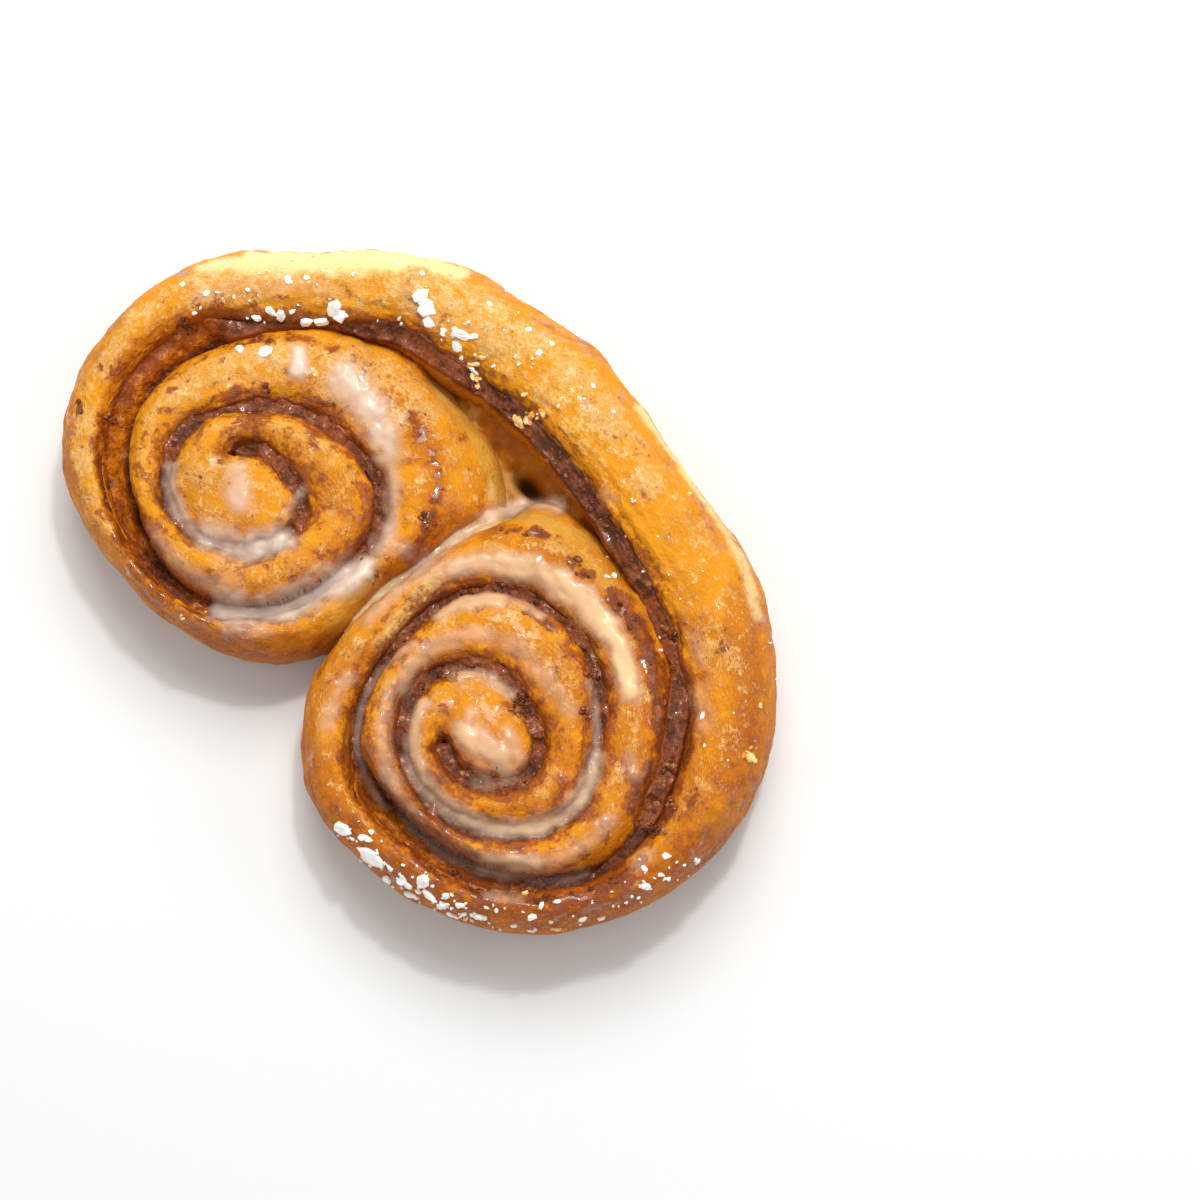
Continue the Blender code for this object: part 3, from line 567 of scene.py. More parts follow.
GLAZE = (
    # the thick strokes and drops
    (R, 326, 5.2, (311, 4.8, 3.2, 0.75), (268, 5.5, 3.9, 0.92), (243, 6.0, 3.2, 0.92)),
    (L, 424, 0.0, (368, 0.8, 4.3, 0.88), (346, 2.6, 5.1, 0.95)),
    (L, 239, 11.2, (241, 7.6, 3.2, 0.95)),
    (L, 258, 9.9, (275, 7.6, 5.8, 0.8), (292, 5.0, 4.8, 0.75)),
    (FREE, -38.3, 1.5, (-34.2, -1.3, 4.0, 0.7)), (FREE, -34.0, -10.2, (-27.0, -7.2, 4.8, 0.72)),
    (FREE, -26.5, -5.6, (-22.6, -1.0, 4.2, 0.85)), (FREE, 28.5, -2.0, (37.0, -1.0, 4.6, 0.8)),
    (FREE, 26.0, 1.0, (28.5, -2.5, 2.6, 0.65)), (FREE, 33.0, 3.6, (38.6, 1.0, 2.6, 0.55)),
    (R, 132, 6.3, (156, 6.4, 3.0, 0.72), (190, 7.0, 2.6, 0.42)),
    # along the grooves
    (L, 292, 4.6, (312, 2.7, 3.0, 0.6), (334, 2.0, 2.8, 0.6)),
    (L, 160, -1.1, (127, -1.2, 2.3, 0.68)),
    (L, 127, -1.0, (92, 0.2, 2.4, 0.6), (44, 0.6, 2.2, 0.42)),
    (R, 336, -2.2, (310, -2.6, 2.9, 0.72)), (R, 312, -2.0, (292, -2.4, 1.8, 0.5)),
    (R, 354, -2.9, (372, -0.6, 1.8, 0.5), (437, 1.0, 1.6, 0.45)),
    (R, 18, -2.6, (60, -1.6, 2.4, 0.66), (120, -1.2, 2.7, 0.74), (216, 0.3, 2.7, 0.72)),
    (R, 218, 0.3, (254, -1.7, 1.5, 0.5)), (R, -72, -1.6, (-18, -1.7, 2.2, 0.55)),
    (R, -48, -1.9, (-72, -1.6, 2.2, 0.65)), (R, 512, -0.8, (531, -0.6, 2.0, 0.4)),
    (FREE, -27.6, 8.4, (-26.0, 3.0, 1.8, 0.45)),
    # thin veils over the crests
    (L, 122, 6.0, (76, 8.6, 2.8, 0.40), (60, 5.6, 2.8, 0.3)),
    (L, 330, 1.0, (331, 7.2, 3.0, 0.45)), (R, 335, 6.0, (312, 6.4, 3.2, 0.4)),
    (R, 16, 2.4, (-2, 4.0, 2.6, 0.5), (-46, 6.0, 2.9, 0.5), (-92, 6.0, 3.0, 0.42),
     (-118, 7.2, 2.6, 0.4)), (R, 16, 4.0, (60, 3.2, 2.6, 0.45)),
    (R, 60, 3.6, (99, 5.0, 2.6, 0.45), (132, 6.2, 2.6, 0.5)), (R, 381, 4.3, (400, 5.8, 2.6, 0.5)),
    (R, 597, 3.0, (588, 3.6, 3.3, 0.38)), (R, 217, 6.6, (210, 8.2, 2.2, 0.4)),
    (R, 549, 3.0, (545, 3.4, 2.6, 0.4)), (R, 506, 3.7, (496, 4.0, 2.4, 0.4)),
    (L, 571, 6.6, (569, 7.4, 2.4, 0.35)), (L, 418, 4.0, (400, 4.2, 2.6, 0.35)),
    (L, 60, 12.6, (20, 12.4, 2.2, 0.3)), (A, 0.72, 1.4, (0.76, 1.8, 1.8, 0.3)),
    (R, 612, 2.8, (604, 3.0, 2.2, 0.3)), (FREE, 33.0, -3.0, (36.6, -6.4, 3.2, 0.35)),
    (L, 618, 6.6, (628, 3.6, 2.4, 0.3)),
    (L, 570, 7.5, (582, 5.4, 3.0, 0.3), (600, 4.4, 3.0, 0.28)),
    # down the seam
    (FREE, 7.4, 42.0, (3.6, 39.2, 3.2, 0.9)), (FREE, 3.6, 39.0, (0.8, 35.6, 3.2, 0.9)),
    (FREE, 0.8, 35.4, (-0.4, 29.0, 2.4, 0.8), (-1.4, 17.0, 2.4, 0.6), (-1.6, 8.0, 3.0, 0.7),
     (-1.5, 0.0, 3.0, 0.55)),
)


def trail_line(where, start, start_offset, end, end_offset):
    """Points (x, y) along the middle of a trail."""
    if where == FREE:
        return np.array(((start, start_offset), (end, end_offset)), float)
    part = np.linspace(0.0, 1.0, 2 + int(abs(end - start) * (0.12 if where != A else 12)))
    place = lerp(start, end, part)
    offset = lerp(start_offset, end_offset, part)
    if where == A:
        return np.stack((lerp(LEFT_HEART, RIGHT_HEART, place),
                         along(ARCH_INNER, place) + offset), -1)
    roll = LEFT if where == L else RIGHT
    return roll.point(place, roll.filling_radius(place) + offset)


def trail_steps(trails):
    """The line, half width and strength of each step of each trail."""
    for where, start, start_offset, *steps in trails:
        for end, end_offset, half_width, strength in steps:
            yield trail_line(where, start, start_offset, end, end_offset), half_width, strength
            start, start_offset = end, end_offset


def line_distance(x, y, line):
    """Distance of each (x, y) from a polyline."""
    nearest = np.full(x.shape, np.inf)
    for (ax, ay), (bx, by) in zip(line, line[1:]):
        dx, dy = bx - ax, by - ay
        share = np.clip(((x - ax) * dx + (y - ay) * dy) / max(dx * dx + dy * dy, 1e-9), 0, 1)
        nearest = np.minimum(nearest, np.hypot(x - ax - share * dx, y - ay - share * dy))
    return nearest


def painted(trails, x, y, ragged, soft=0.35, grain=1.9):
    """Strength of the trails at (x, y), from 0 to 1, with uneven edges."""
    x, y = np.broadcast_arrays(x, y)
    total = np.zeros(x.shape)
    for line, half_width, strength in trail_steps(trails):
        reach = half_width * (1.2 + ragged)
        near = ((x > line[:, 0].min() - reach) & (x < line[:, 0].max() + reach)
                & (y > line[:, 1].min() - reach) & (y < line[:, 1].max() + reach))
        if not near.any():
            continue
        px, py = x[near], y[near]
        uneven = ragged * 0.5 * PATCH.layered(px / grain, py / grain, 4.4, 3)
        distance = line_distance(px, py, line) / half_width + uneven
        total[near] = np.maximum(total[near], strength * (1 - smoothstep(soft, 1.1, distance)))
    return total


def surface_tree(*pieces):
    """Search tree over pieces, in drawing-frame millimetres."""
    vertices, polygons = [], []
    for piece in pieces:
        base = len(vertices)
        count = len(piece.data.vertices)
        co = np.empty(count * 3)
        piece.data.vertices.foreach_get("co", co)
        vertices += (co.reshape(-1, 3) / MM + CENTRE).tolist()
        polygons += [[base + index for index in polygon.vertices]
                     for polygon in piece.data.polygons]
    return BVHTree.FromPolygons(vertices, polygons)


def drop_heights(tree, x, y, missing=0.0):
    """Height of the surface below each (x, y)."""
    down = Vector((0, 0, -1))
    flat = np.empty(x.size)
    for index, (px, py) in enumerate(zip(x.ravel(), y.ravel())):
        hit = tree.ray_cast(Vector((px, py, 60.0)), down)[0]
        flat[index] = missing if hit is None else hit.z
    return flat.reshape(x.shape)


# ---- nut filling
# how far the filling stands above its groove's shoulders, by angle, and how
# widely it may spread to either side of the groove's centre line
FILLING_RISE = ((-360, 1.0), (190, 1.4), (330, 1.2), (400, 0.6), (440, -0.4), (530, -0.4),
                (580, 0.6))
FILLING_SPREAD = 3.1
# beside a leaning wall the filling climbs from the crease over the wall
CREASE_ACROSS = -1.5
CREASE_DEPTH = 5.0
# under the arch it lines the wall, which bulges into the pit further down
LINING_FOOT = (-3.2, 8.5)      # across and below the top edge
LINING_EDGE = (-1.9, 0.8)
LAP = 0.55                     # how far it laps the crown
LAP_THICK = 0.45
TOP_COLUMNS = 23
WALL_ROWS = 6


def make_filling(stations, distance):
    """Lumpy ribbon that fills the groove between the turns and lines the arch."""
    keep = stations["angle"] > np.where(stations["roll"] > 0, LEFT_START + 4, RIGHT_START + 4)
    rows = {key: value[keep] for key, value in stations.items()}
    s = distance[keep][:, None]
    inner = np.stack((rows["inner_x"], rows["inner_y"]), -1)
    outer = np.stack((rows["outer_x"], rows["outer_y"]), -1)
    width = np.linalg.norm(outer - inner, axis=1)[:, None]
    out = (outer - inner) / width
    centre = inner - out * WALL_OFFSET
    angle = rows["angle"][:, None]
    inner_top = rows["inner_top"][:, None]
    middle = np.minimum(width / 2, CREST_REACH)
    lean = np.minimum(rows["lean"][:, None], middle / 2)
    lined = smoothstep(596, 616, angle)
    flank = smoothstep(0.3, 2.6, lean)
    part = np.linspace(-1.0, 1.0, TOP_COLUMNS)[None, :]
    face_part = np.clip(part + 1, 0, 1)
    lap_part = np.clip(part, 0, 1)

    # between two turns: a crumbly bed
    shift = -1.3 * smoothstep(530, 560, angle) * (rows["roll"][:, None] < 0)
    bed_across = part * FILLING_SPREAD + shift
    bed = inner_top + by_angle(FILLING_RISE, angle) + 0.05 * bed_across ** 2
    bed = bed + 0.55 * PATCH.layered(s / 7.0, bed_across / 9.0, 6.0, 3)
    bed = bed - 3.0 * smoothstep(0.55, 1.0, np.abs(part))

    # on the wall: from the crease or the pit up to the crown's edge, then a lap over it
    foot_across = lerp(CREASE_ACROSS, LINING_FOOT[0], lined)
    foot_below = lerp(CREASE_DEPTH, LINING_FOOT[1], lined)
    edge_across = lean + lerp(0.5, LINING_EDGE[0], lined)
    edge_below = lerp(-0.3, LINING_EDGE[1], lined)
    face_across = lerp(foot_across, edge_across, face_part)
    wall_across = lerp(face_across, lean + WALL_OFFSET + LAP, lap_part)
    face_height = inner_top - lerp(foot_below, edge_below, face_part ** 0.8)
    past = np.maximum(wall_across - WALL_OFFSET - lean, 0.0)
    round_part = np.clip(1 - past / np.maximum(middle - lean, 0.5), 0, 1)
    crown = inner_top + (rows["crest"][:, None] - inner_top) * np.sqrt(1 - round_part ** 2)
    ragged = PATCH.layered(s / 2.6, 0.0, 2.5, 3)
    thick = lerp(LAP_THICK, -0.8, smoothstep(0.4, 1.0, past / LAP + 0.5 * ragged))
    on_wall = np.where(past > 0, crown + thick, face_height + 1.4 * smoothstep(0.0, 0.8, part))

    walled = np.maximum(lined, flank)
    across = lerp(bed_across, wall_across, walled)
    x = centre[:, 0:1] + out[:, 0:1] * across
    y = centre[:, 1:2] + out[:, 1:2] * across
    lumps = (0.40 * LUMPS.layered(x / 1.7, y / 1.7, 5.0, 2)
             + 0.22 * GRAIN.layered(x / 0.8, y / 0.8, 2.0, 2))
    top = lerp(bed, on_wall, walled) + lumps
    across = across - walled * 0.5 * lumps * (part < 0)

    climb = np.linspace(0.0, 1.0, WALL_ROWS + 1)[None, :-1]
    under_height = lerp(1.0, top[:, :1], climb)
    under_across = lerp(-FILLING_THICK / 2, across[:, :1], smoothstep(0.1, 0.9, climb))
    under_across = under_across - 0.22 * LUMPS.layered(s / 3.0, under_height / 2.5, 8.0, 2)
    back_across = np.stack((across[:, -1], np.full(len(s), FILLING_THICK / 2),
                            np.full(len(s), FILLING_THICK / 2)), -1)
    back_height = np.stack((top[:, -1] - 2.0, rows["inner_top"] - 9.0, np.full(len(s), 1.0)), -1)
    ring_across = np.concatenate((under_across, across, back_across), axis=1)
    ring_height = np.concatenate((under_height, top, back_height), axis=1)
    points = np.stack((centre[:, 0:1] + out[:, 0:1] * ring_across,
                       centre[:, 1:2] + out[:, 1:2] * ring_across, ring_height), -1)
    shown = slice(WALL_ROWS, WALL_ROWS + TOP_COLUMNS)
    core = np.zeros(ring_across.shape)
    core[:, shown] = 1 - smoothstep(0.25, 0.75, np.abs(part))
    core[:, shown] = lerp(core[:, shown], 1 - smoothstep(-0.85, -0.5, part), flank)
    core[:, shown] = lerp(core[:, shown], smoothstep(-0.35, -0.05, part), lined)
    wall = np.ones(ring_across.shape) * lined
    wall[:, shown] = (lined * (1 - smoothstep(-0.45, -0.10, part))
                      + flank * smoothstep(-0.85, -0.45, part)
                      * (0.95 - 0.5 * np.exp(-((part - 0.15) / 0.4) ** 2)
                         + 0.45 * smoothstep(0.4, 0.9, part)))
    vertices, faces = tube(points)
    return finish_piece("nut_layer", vertices, faces, filling_finish(), "nut_filling",
                        {"core": capped(core), "wall": capped(wall)})


def tube(points):
    """Closed tube through a (rows, columns, 3) grid, with a fan over either end."""
    rows, columns = points.shape[:2]
    faces = grid_faces(rows, columns, True).tolist()
    hubs = []
    for row in (0, rows - 1):
        hubs.append(points[row].mean(axis=0))
        hub = rows * columns + len(hubs) - 1
        faces += [(row * columns + k, row * columns + (k + 1) % columns, hub)
                  for k in range(columns)]
    return np.concatenate((points.reshape(-1, 3), hubs)), faces


def capped(values):
    """Values of a tube's grid, with one for each hub."""
    return np.concatenate((values.ravel(), (0.0, 0.0)))


# ---- seam and pit
SLAB_BOTTOM = 1.0


def make_seam():
    """Pale crumb where the rolls grew together."""
    y = np.linspace(SEAM_FROM + 0.6, SEAM_TO + 1.0, 90)[:, None]
    part = np.linspace(-1.0, 1.0, 17)[None, :]
    x = seam_x(y) + part * 3.4 * (1 - 0.6 * smoothstep(SEAM_TO - 5, SEAM_TO + 1, y))
    z = SEAM_TOP + 1.6 * np.abs(part) ** 1.5 + 0.35 * LUMPS.layered(x / 3, y / 3, 0.5, 2)
    z = z - 2.0 * smoothstep(SEAM_FROM + 4.0, SEAM_FROM, y) - 7.5 * smoothstep(31.0, 37.0, y)
    return slab("seam_crumb", np.stack((x, y + 0 * x, z), -1), seam_finish())


PIT_FROM, PIT_TO = -27.0, 23.0
PIT_HOLE = (0.6, 41.2)
PIT_HOLE_REACH = (3.4, 1.5)
PIT_HOLE_DEPTH = 7.0


def make_pit():
    """Floor under the arch: it climbs to the arch's inner wall, with one deep hole."""
    x = np.linspace(PIT_FROM, PIT_TO, 100)[:, None]
    far = along(ARCH_INNER, (x - LEFT_HEART) / (RIGHT_HEART - LEFT_HEART)) - 0.75
    near = 31.0 + 0.45 * np.abs(x - 1.0)
    part = np.linspace(0.0, 1.0, 34)[None, :]
    y = lerp(near, far, part)
    ends = smoothstep(-27.0, -20.0, x) * smoothstep(22.5, 15.0, x)
    beside = np.maximum(smoothstep(-7.0, -14.0, x), smoothstep(6.0, 12.0, x)) * (1 - part)
    z = 7.0 + ends * (3.0 + 5.0 * beside + 8.0 * part ** 1.8)
    z = z + 0.9 * LUMPS.layered(x / 3.2, y / 3.2, 1.5, 3)
    z = z + 0.5 * GRAIN.layered(x / 1.2, y / 1.2, 1.5, 2)
    # The hole is also painted dark, by the mask deep: painted shade.
    hole = np.exp(-((x - PIT_HOLE[0]) / PIT_HOLE_REACH[0]) ** 2
                  - ((y - PIT_HOLE[1]) / PIT_HOLE_REACH[1]) ** 2)
    z = np.maximum(z - PIT_HOLE_DEPTH * hole, 2.0)
    light = smoothstep(0.75, 0.10, part + 0.25 * LUMPS.layered(x / 2.5, y / 2.5, 7.5, 2))
    return slab("pit_crumb", np.stack((x + 0 * y, y, z), -1), pit_finish(),
                {"deep": np.clip(1.6 * hole, 0, 1), "light": light})


def slab(name, top, material, fields=None):
    """Closed slab from a grid down to a flat underside."""
    bottom = top.copy()
    bottom[..., 2] = SLAB_BOTTOM
    rows, columns = top.shape[:2]
    count = rows * columns
    faces = grid_faces(rows, columns)
    under = faces[:, ::-1] + count
    rim = ([(0, k) for k in range(columns)] + [(r, columns - 1) for r in range(1, rows)]
           + [(rows - 1, k) for k in range(columns - 2, -1, -1)]
           + [(r, 0) for r in range(rows - 2, 0, -1)])
    rim = [r * columns + k for r, k in rim]
    sides = [(a, b, b + count, a + count) for a, b in zip(rim, rim[1:] + rim[:1])]
    vertices = np.concatenate((top.reshape(-1, 3), bottom.reshape(-1, 3)))
    attributes = {key: np.tile(values.ravel(), 2) for key, values in (fields or {}).items()}
    return finish_piece(name, vertices, faces.tolist() + under.tolist() + sides, material,
                        None, attributes)


# ---- glaze
GLAZE_GRID = 0.42
GLAZE_FROM = (-80.0, -33.0)
GLAZE_TO = (76.0, 69.0)
GLAZE_THICK = 0.75
GLAZE_LEAST = 0.03
GLAZE_LEVEL = 1.5          # how far round a place the glaze evens out the surface
CRAG = 1.2                 # a crag no higher than this lifts the glaze beside it


def blurred(values, radius):
    """Values of a grid, evened out with a bell curve of this radius in cells."""
    reach = int(math.ceil(radius * 2.5))
    bell = np.exp(-0.5 * (np.arange(-reach, reach + 1) / radius) ** 2)
    bell /= bell.sum()
    for axis in (0, 1):
        values = np.apply_along_axis(lambda row: np.convolve(np.pad(row, reach, "edge"), bell,
                                                             "valid"), axis, values)
    return values


def make_glaze(tree):
    """Thin shell of icing glaze over crust and filling, thickest along its strokes."""
    x, y = np.meshgrid(np.arange(GLAZE_FROM[0], GLAZE_TO[0], GLAZE_GRID),
                       np.arange(GLAZE_FROM[1], GLAZE_TO[1], GLAZE_GRID), indexing="ij")
    film = painted(GLAZE, x, y, 0.40, 0.10, 3.2)
    film = film * (0.96 + 0.10 * PATCH.layered(x / 5.0, y / 5.0, 2.0, 2))
    used = film > GLAZE_LEAST
    margin = blurred(used * 1.0, 2.0) > 0.001
    ground = np.zeros(x.shape)
    ground[margin] = drop_heights(tree, x[margin], y[margin])
    standing = ground > 6.0
    used &= standing
    radius = GLAZE_LEVEL / GLAZE_GRID
    weight = np.maximum(blurred(standing * margin * 1.0, radius), 0.01)
    level = blurred(ground * standing * margin, radius) / weight
    steep = np.hypot(*np.gradient(np.where(standing, ground, level), GLAZE_GRID))
    film = film * (1 - 0.35 * blurred(smoothstep(1.8, 4.0, steep) * standing, 1.0))
    fill = np.clip(film * 1.1, 0, 1)
    crags = ground
    for axis in (0, 1):
        for shift in (-1, 1):
            beside = np.roll(ground, shift, axis)
            crags = np.where(beside - ground < CRAG, np.maximum(crags, beside), crags)
    top = crags + np.maximum(level - crags, 0.0) * fill + GLAZE_THICK * film ** 1.3 + 0.03
    cells = used[:-1, :-1] & used[1:, :-1] & used[:-1, 1:] & used[1:, 1:]
    return field_shell("icing_glaze", x, y, ground - 0.5, top, cells, glaze_finish(),
                       {"film": film, "milky": smoothstep(8.0, -4.0, x),
                        "sunk": smoothstep(0.15, 0.9, level - ground)})


def field_shell(name, x, y, low, high, cells, material, fields):
    """Closed shell between two height fields over the chosen cells of a grid."""
    rows, columns = x.shape
    row, column = np.nonzero(cells)
    corners = np.stack((row * columns + column, (row + 1) * columns + column,
                        (row + 1) * columns + column + 1, row * columns + column + 1), -1)
    keep, local = np.unique(corners, return_inverse=True)
    local = local.reshape(-1, 4)
    count = len(keep)
    flat = [axis.ravel()[keep] for axis in (x, y, low, high)]
    vertices = np.concatenate((np.stack((flat[0], flat[1], flat[3]), -1),
                               np.stack((flat[0], flat[1], flat[2]), -1)))
    edges = np.concatenate([local[:, (k, (k + 1) % 4)] for k in range(4)])
    keys = edges[:, 0] * count + edges[:, 1]
    border = edges[~np.isin(keys, edges[:, 1] * count + edges[:, 0])]
    sides = np.stack((border[:, 1], border[:, 0], border[:, 0] + count, border[:, 1] + count), -1)
    faces = np.concatenate((local, local[:, ::-1] + count, sides)).tolist()
    attributes = {key: np.tile(values.ravel()[keep], 2) for key, values in fields.items()}
    return finish_piece(name, vertices, faces, material, None, attributes)


# ---- flakes, grains and crumbs
# A flake: (where, angle or part of the arch, place over the crown, length);
# the place runs from 0 at the strip's inner edge to 1 at its outer edge.
ICING_FLAKES = (
    (FREE, -38.3, 50.9, 3.6), (FREE, -36.8, 50.2, 4.2), (FREE, -35.2, 49.5, 4.0),
    (FREE, -33.8, 48.6, 3.2), (L, 605, 0.20, 4.6), (L, 607, 0.12, 3.4), (L, 602, 0.02, 4.2),
    (L, 598, 0.04, 3.2), (L, 591, 0.16, 3.6), (L, 588, 0.20, 3.0), (L, 584, 0.12, 2.6),
    (L, 218, 0.64, 3.4), (L, 227, 0.58, 4.0), (A, 0.07, 0.36, 4.6), (A, 0.08, 0.24, 3.6),
    (A, 0.10, 0.40, 3.0), (R, 436, 0.73, 5.4), (R, 451, 0.71, 7.8), (R, 443, 0.60, 2.8),
    (R, 459, 0.86, 2.8), (R, 464, 0.72, 3.0), (R, 468, 0.87, 3.0), (R, 471, 0.60, 4.0),
    (R, 475, 0.72, 3.6), (R, 480, 0.79, 3.2), (R, 486, 0.66, 2.4), (R, 493, 0.74, 3.0),
    (R, 509, 0.64, 2.4), (R, 542, 0.66, 3.4),
)
ICING_THICK = 0.6
# Where specks of icing lie: (where, from, to, place, spread of place, count)
ICING_SPECKS = (
    (L, 566, 628, 0.33, 0.13, 34), (A, 0.0, 0.30, 0.42, 0.16, 30), (R, 432, 500, 0.74, 0.13, 90),
    (R, 500, 556, 0.70, 0.16, 40), (R, 575, 628, 0.50, 0.25, 9), (A, 0.35, 0.98, 0.45, 0.2, 12),
    (R, 242, 300, 0.75, 0.12, 7),
)
CRUST_FLAKES = ((A, 0.18, 0.10, 5.2), (A, 0.375, 0.10, 6.4), (R, 581, 0.70, 3.2),
                (R, 515, 0.95, 4.4))
CRUST_THICK = 0.455
CRUST_SHARDS = 9
SPECK_LEAST, SPECK_MORE = 0.6, 1.5
SPECK_THICK = 0.35
FLAKE_SIDES = 7
SPECK_SIDES = 6
# rings of a flake from its hidden rim up: (share of its reach, share of its thickness)
FLAKE_RINGS = ((1.0, -0.5), (1.02, 0.45), (0.82, 0.95), (0.4, 1.05))
ICING_SEED, SHARD_SEED, CRUMB_SEED = 5, 9, 17


def crown_place(stations, where, position, place):
    """Point (x, y) over the crown of a cross-section."""
    if where == FREE:
        return position, place
    if where == A:
        angle = ARCH_ANGLE + 100 * position
        rows = (stations["roll"] == 0)
    else:
        angle = position
        rows = (stations["roll"] == (1 if where == L else -1)) & (stations["angle"] <= ARCH_ANGLE)
    order = np.argsort(stations["angle"][rows])
    row = {key: np.interp(angle, stations["angle"][rows][order], values[rows][order])
           for key, values in stations.items()}
    width = math.hypot(row["outer_x"] - row["inner_x"], row["outer_y"] - row["inner_y"])
    middle = min(width / 2, CREST_REACH)
    bend = math.sin(math.radians(180 * place - 90))
    half = middle - min(row["lean"], middle / 2) if bend < 0 else width - middle
    part = (middle + half * bend) / width
    return (lerp(row["inner_x"], row["outer_x"], part), lerp(row["inner_y"], row["outer_y"], part))


def add_plate(parts, tree, place, length, thick, draw, sides=FLAKE_SIDES):
    """Ragged plate lying on the surface; parts gathers (vertices, faces)."""
    hit, normal = tree.ray_cast(Vector((*place, 60.0)), Vector((0, 0, -1)))[:2]
    if hit is None:
        return
    if normal.z < 0:
        normal.negate()
    turn = normal.to_track_quat("Z", "Y").to_matrix() @ Matrix.Rotation(draw.uniform(0, 6.28), 3, "Z")
    long, wide = length / 2, length / 2 * draw.uniform(0.45, 0.8)
    rim = [draw.uniform(0.55, 1.15) for _ in range(sides)]
    base = sum(len(vertices) for vertices, _ in parts)
    vertices, faces = [], []
    for share, height in FLAKE_RINGS:
        for k in range(sides):
            spin = 2 * math.pi * k / sides
            lift = thick * height * draw.uniform(0.85, 1.2)
            vertices.append(hit + turn @ Vector((long * rim[k] * share * math.cos(spin),
                                                 wide * rim[k] * share * math.sin(spin), lift)))
    for ring in range(len(FLAKE_RINGS) - 1):
        low = base + ring * sides
        faces += [(low + k, low + (k + 1) % sides, low + sides + (k + 1) % sides, low + sides + k)
                  for k in range(sides)]
    top = base + (len(FLAKE_RINGS) - 1) * sides
    faces.append(tuple(range(top, top + sides)))
    faces.append(tuple(range(base + sides - 1, base - 1, -1)))
    parts.append((vertices, faces))


def scattered(x, y, reach, draw):
    """Random point no further than this from (x, y) along either axis."""
    return x + draw.uniform(-1, 1) * reach, y + draw.uniform(-1, 1) * reach


def joined(name, parts, material, smooth=False):
    vertices = [tuple(vertex) for some, _ in parts for vertex in some]
    faces = [face for _, some in parts for face in some]
    return finish_piece(name, vertices, faces, material, smooth=smooth)


def make_icing_flakes(stations, tree):
    draw = random.Random(ICING_SEED)
    parts = []
    for where, position, place, length in ICING_FLAKES:
        add_plate(parts, tree, crown_place(stations, where, position, place), length,
                  ICING_THICK, draw)
    for where, start, end, place, spread, count in ICING_SPECKS:
        for _ in range(count):
            spot = crown_place(stations, where, draw.uniform(start, end),
                               min(max(draw.gauss(place, spread), 0.05), 0.95))
            length = SPECK_LEAST + SPECK_MORE * draw.random() ** 2.5
            add_plate(parts, tree, spot, length, SPECK_THICK, draw, SPECK_SIDES)
    return joined("icing_flakes", parts, icing_finish())


def make_crust_flakes(stations, tree):
    draw = random.Random(SHARD_SEED)
    parts = []
    for where, position, place, length in CRUST_FLAKES:
        for _ in range(CRUST_SHARDS):
            x, y = crown_place(stations, where, position, place)
            spot = scattered(x, y, 0.42 * length, draw)
            add_plate(parts, tree, spot, length * draw.uniform(0.2, 0.5), CRUST_THICK, draw)
    return joined("torn_crust_flakes", parts, torn_finish())


# Nut clumps: (where, angle, offset, radius, grains)
NUT_CLUMPS = (
    (R, 323, 0.2, 1.7, 26), (R, 258, -1.4, 1.6, 22), (R, 241, -2.6, 1.6, 22),
    (R, -85, 0.6, 1.6, 24), (R, -90, -1.6, 1.3, 16), (R, -15, -2.0, 1.2, 14),
    (R, 6, -0.2, 0.9, 8), (R, 615, -1.4, 1.5, 20), (R, 577, -1.0, 2.0, 32),
    (R, 557, 1.3, 1.6, 22), (L, 345, 4.8, 1.5, 12), (L, 341, 1.3, 1.5, 18),
    (R, -208, -2.8, 1.6, 18), (L, 318, 9.6, 1.6, 18), (L, 527, 4.0, 1.4, 14),
    (L, 564, 3.6, 1.3, 12), (L, 228, 2.6, 1.3, 8),
)
GROOVE_GRAINS = 420
SMEAR_GRAINS = 200
GRAIN_SEED = 31
GRAIN_LEAST, GRAIN_MORE = 0.35, 0.55     # radius of the smallest, and what the largest adds
GRAIN_SUNK = 0.25
GRAIN_FLATNESS = 0.55
GRAIN_STRETCH = (1.35, 1.2, 1.0)
GRAIN_TURN = (6.283, 6.283, 6.283)
LEAST_HEIGHT = 5.0             # nothing lies lower than this on the pastry


def scatter_over(piece, weight_name, count, draw, least=0.25):
    """Random points on a piece, denser where the named mask is stronger."""
    mesh = piece.data
    number = len(mesh.vertices)
    co = np.empty(number * 3)
    weight = np.empty(number, np.float32)
    mesh.vertices.foreach_get("co", co)
    mesh.attributes[weight_name].data.foreach_get("value", weight)
    co = co.reshape(-1, 3) / MM + CENTRE
    share = np.where(weight > least, weight, 0.0) ** 2
    chosen = draw.choice(number, count, p=share / share.sum())
    return co[chosen] + draw.normal(0.0, 0.22, (count, 3))


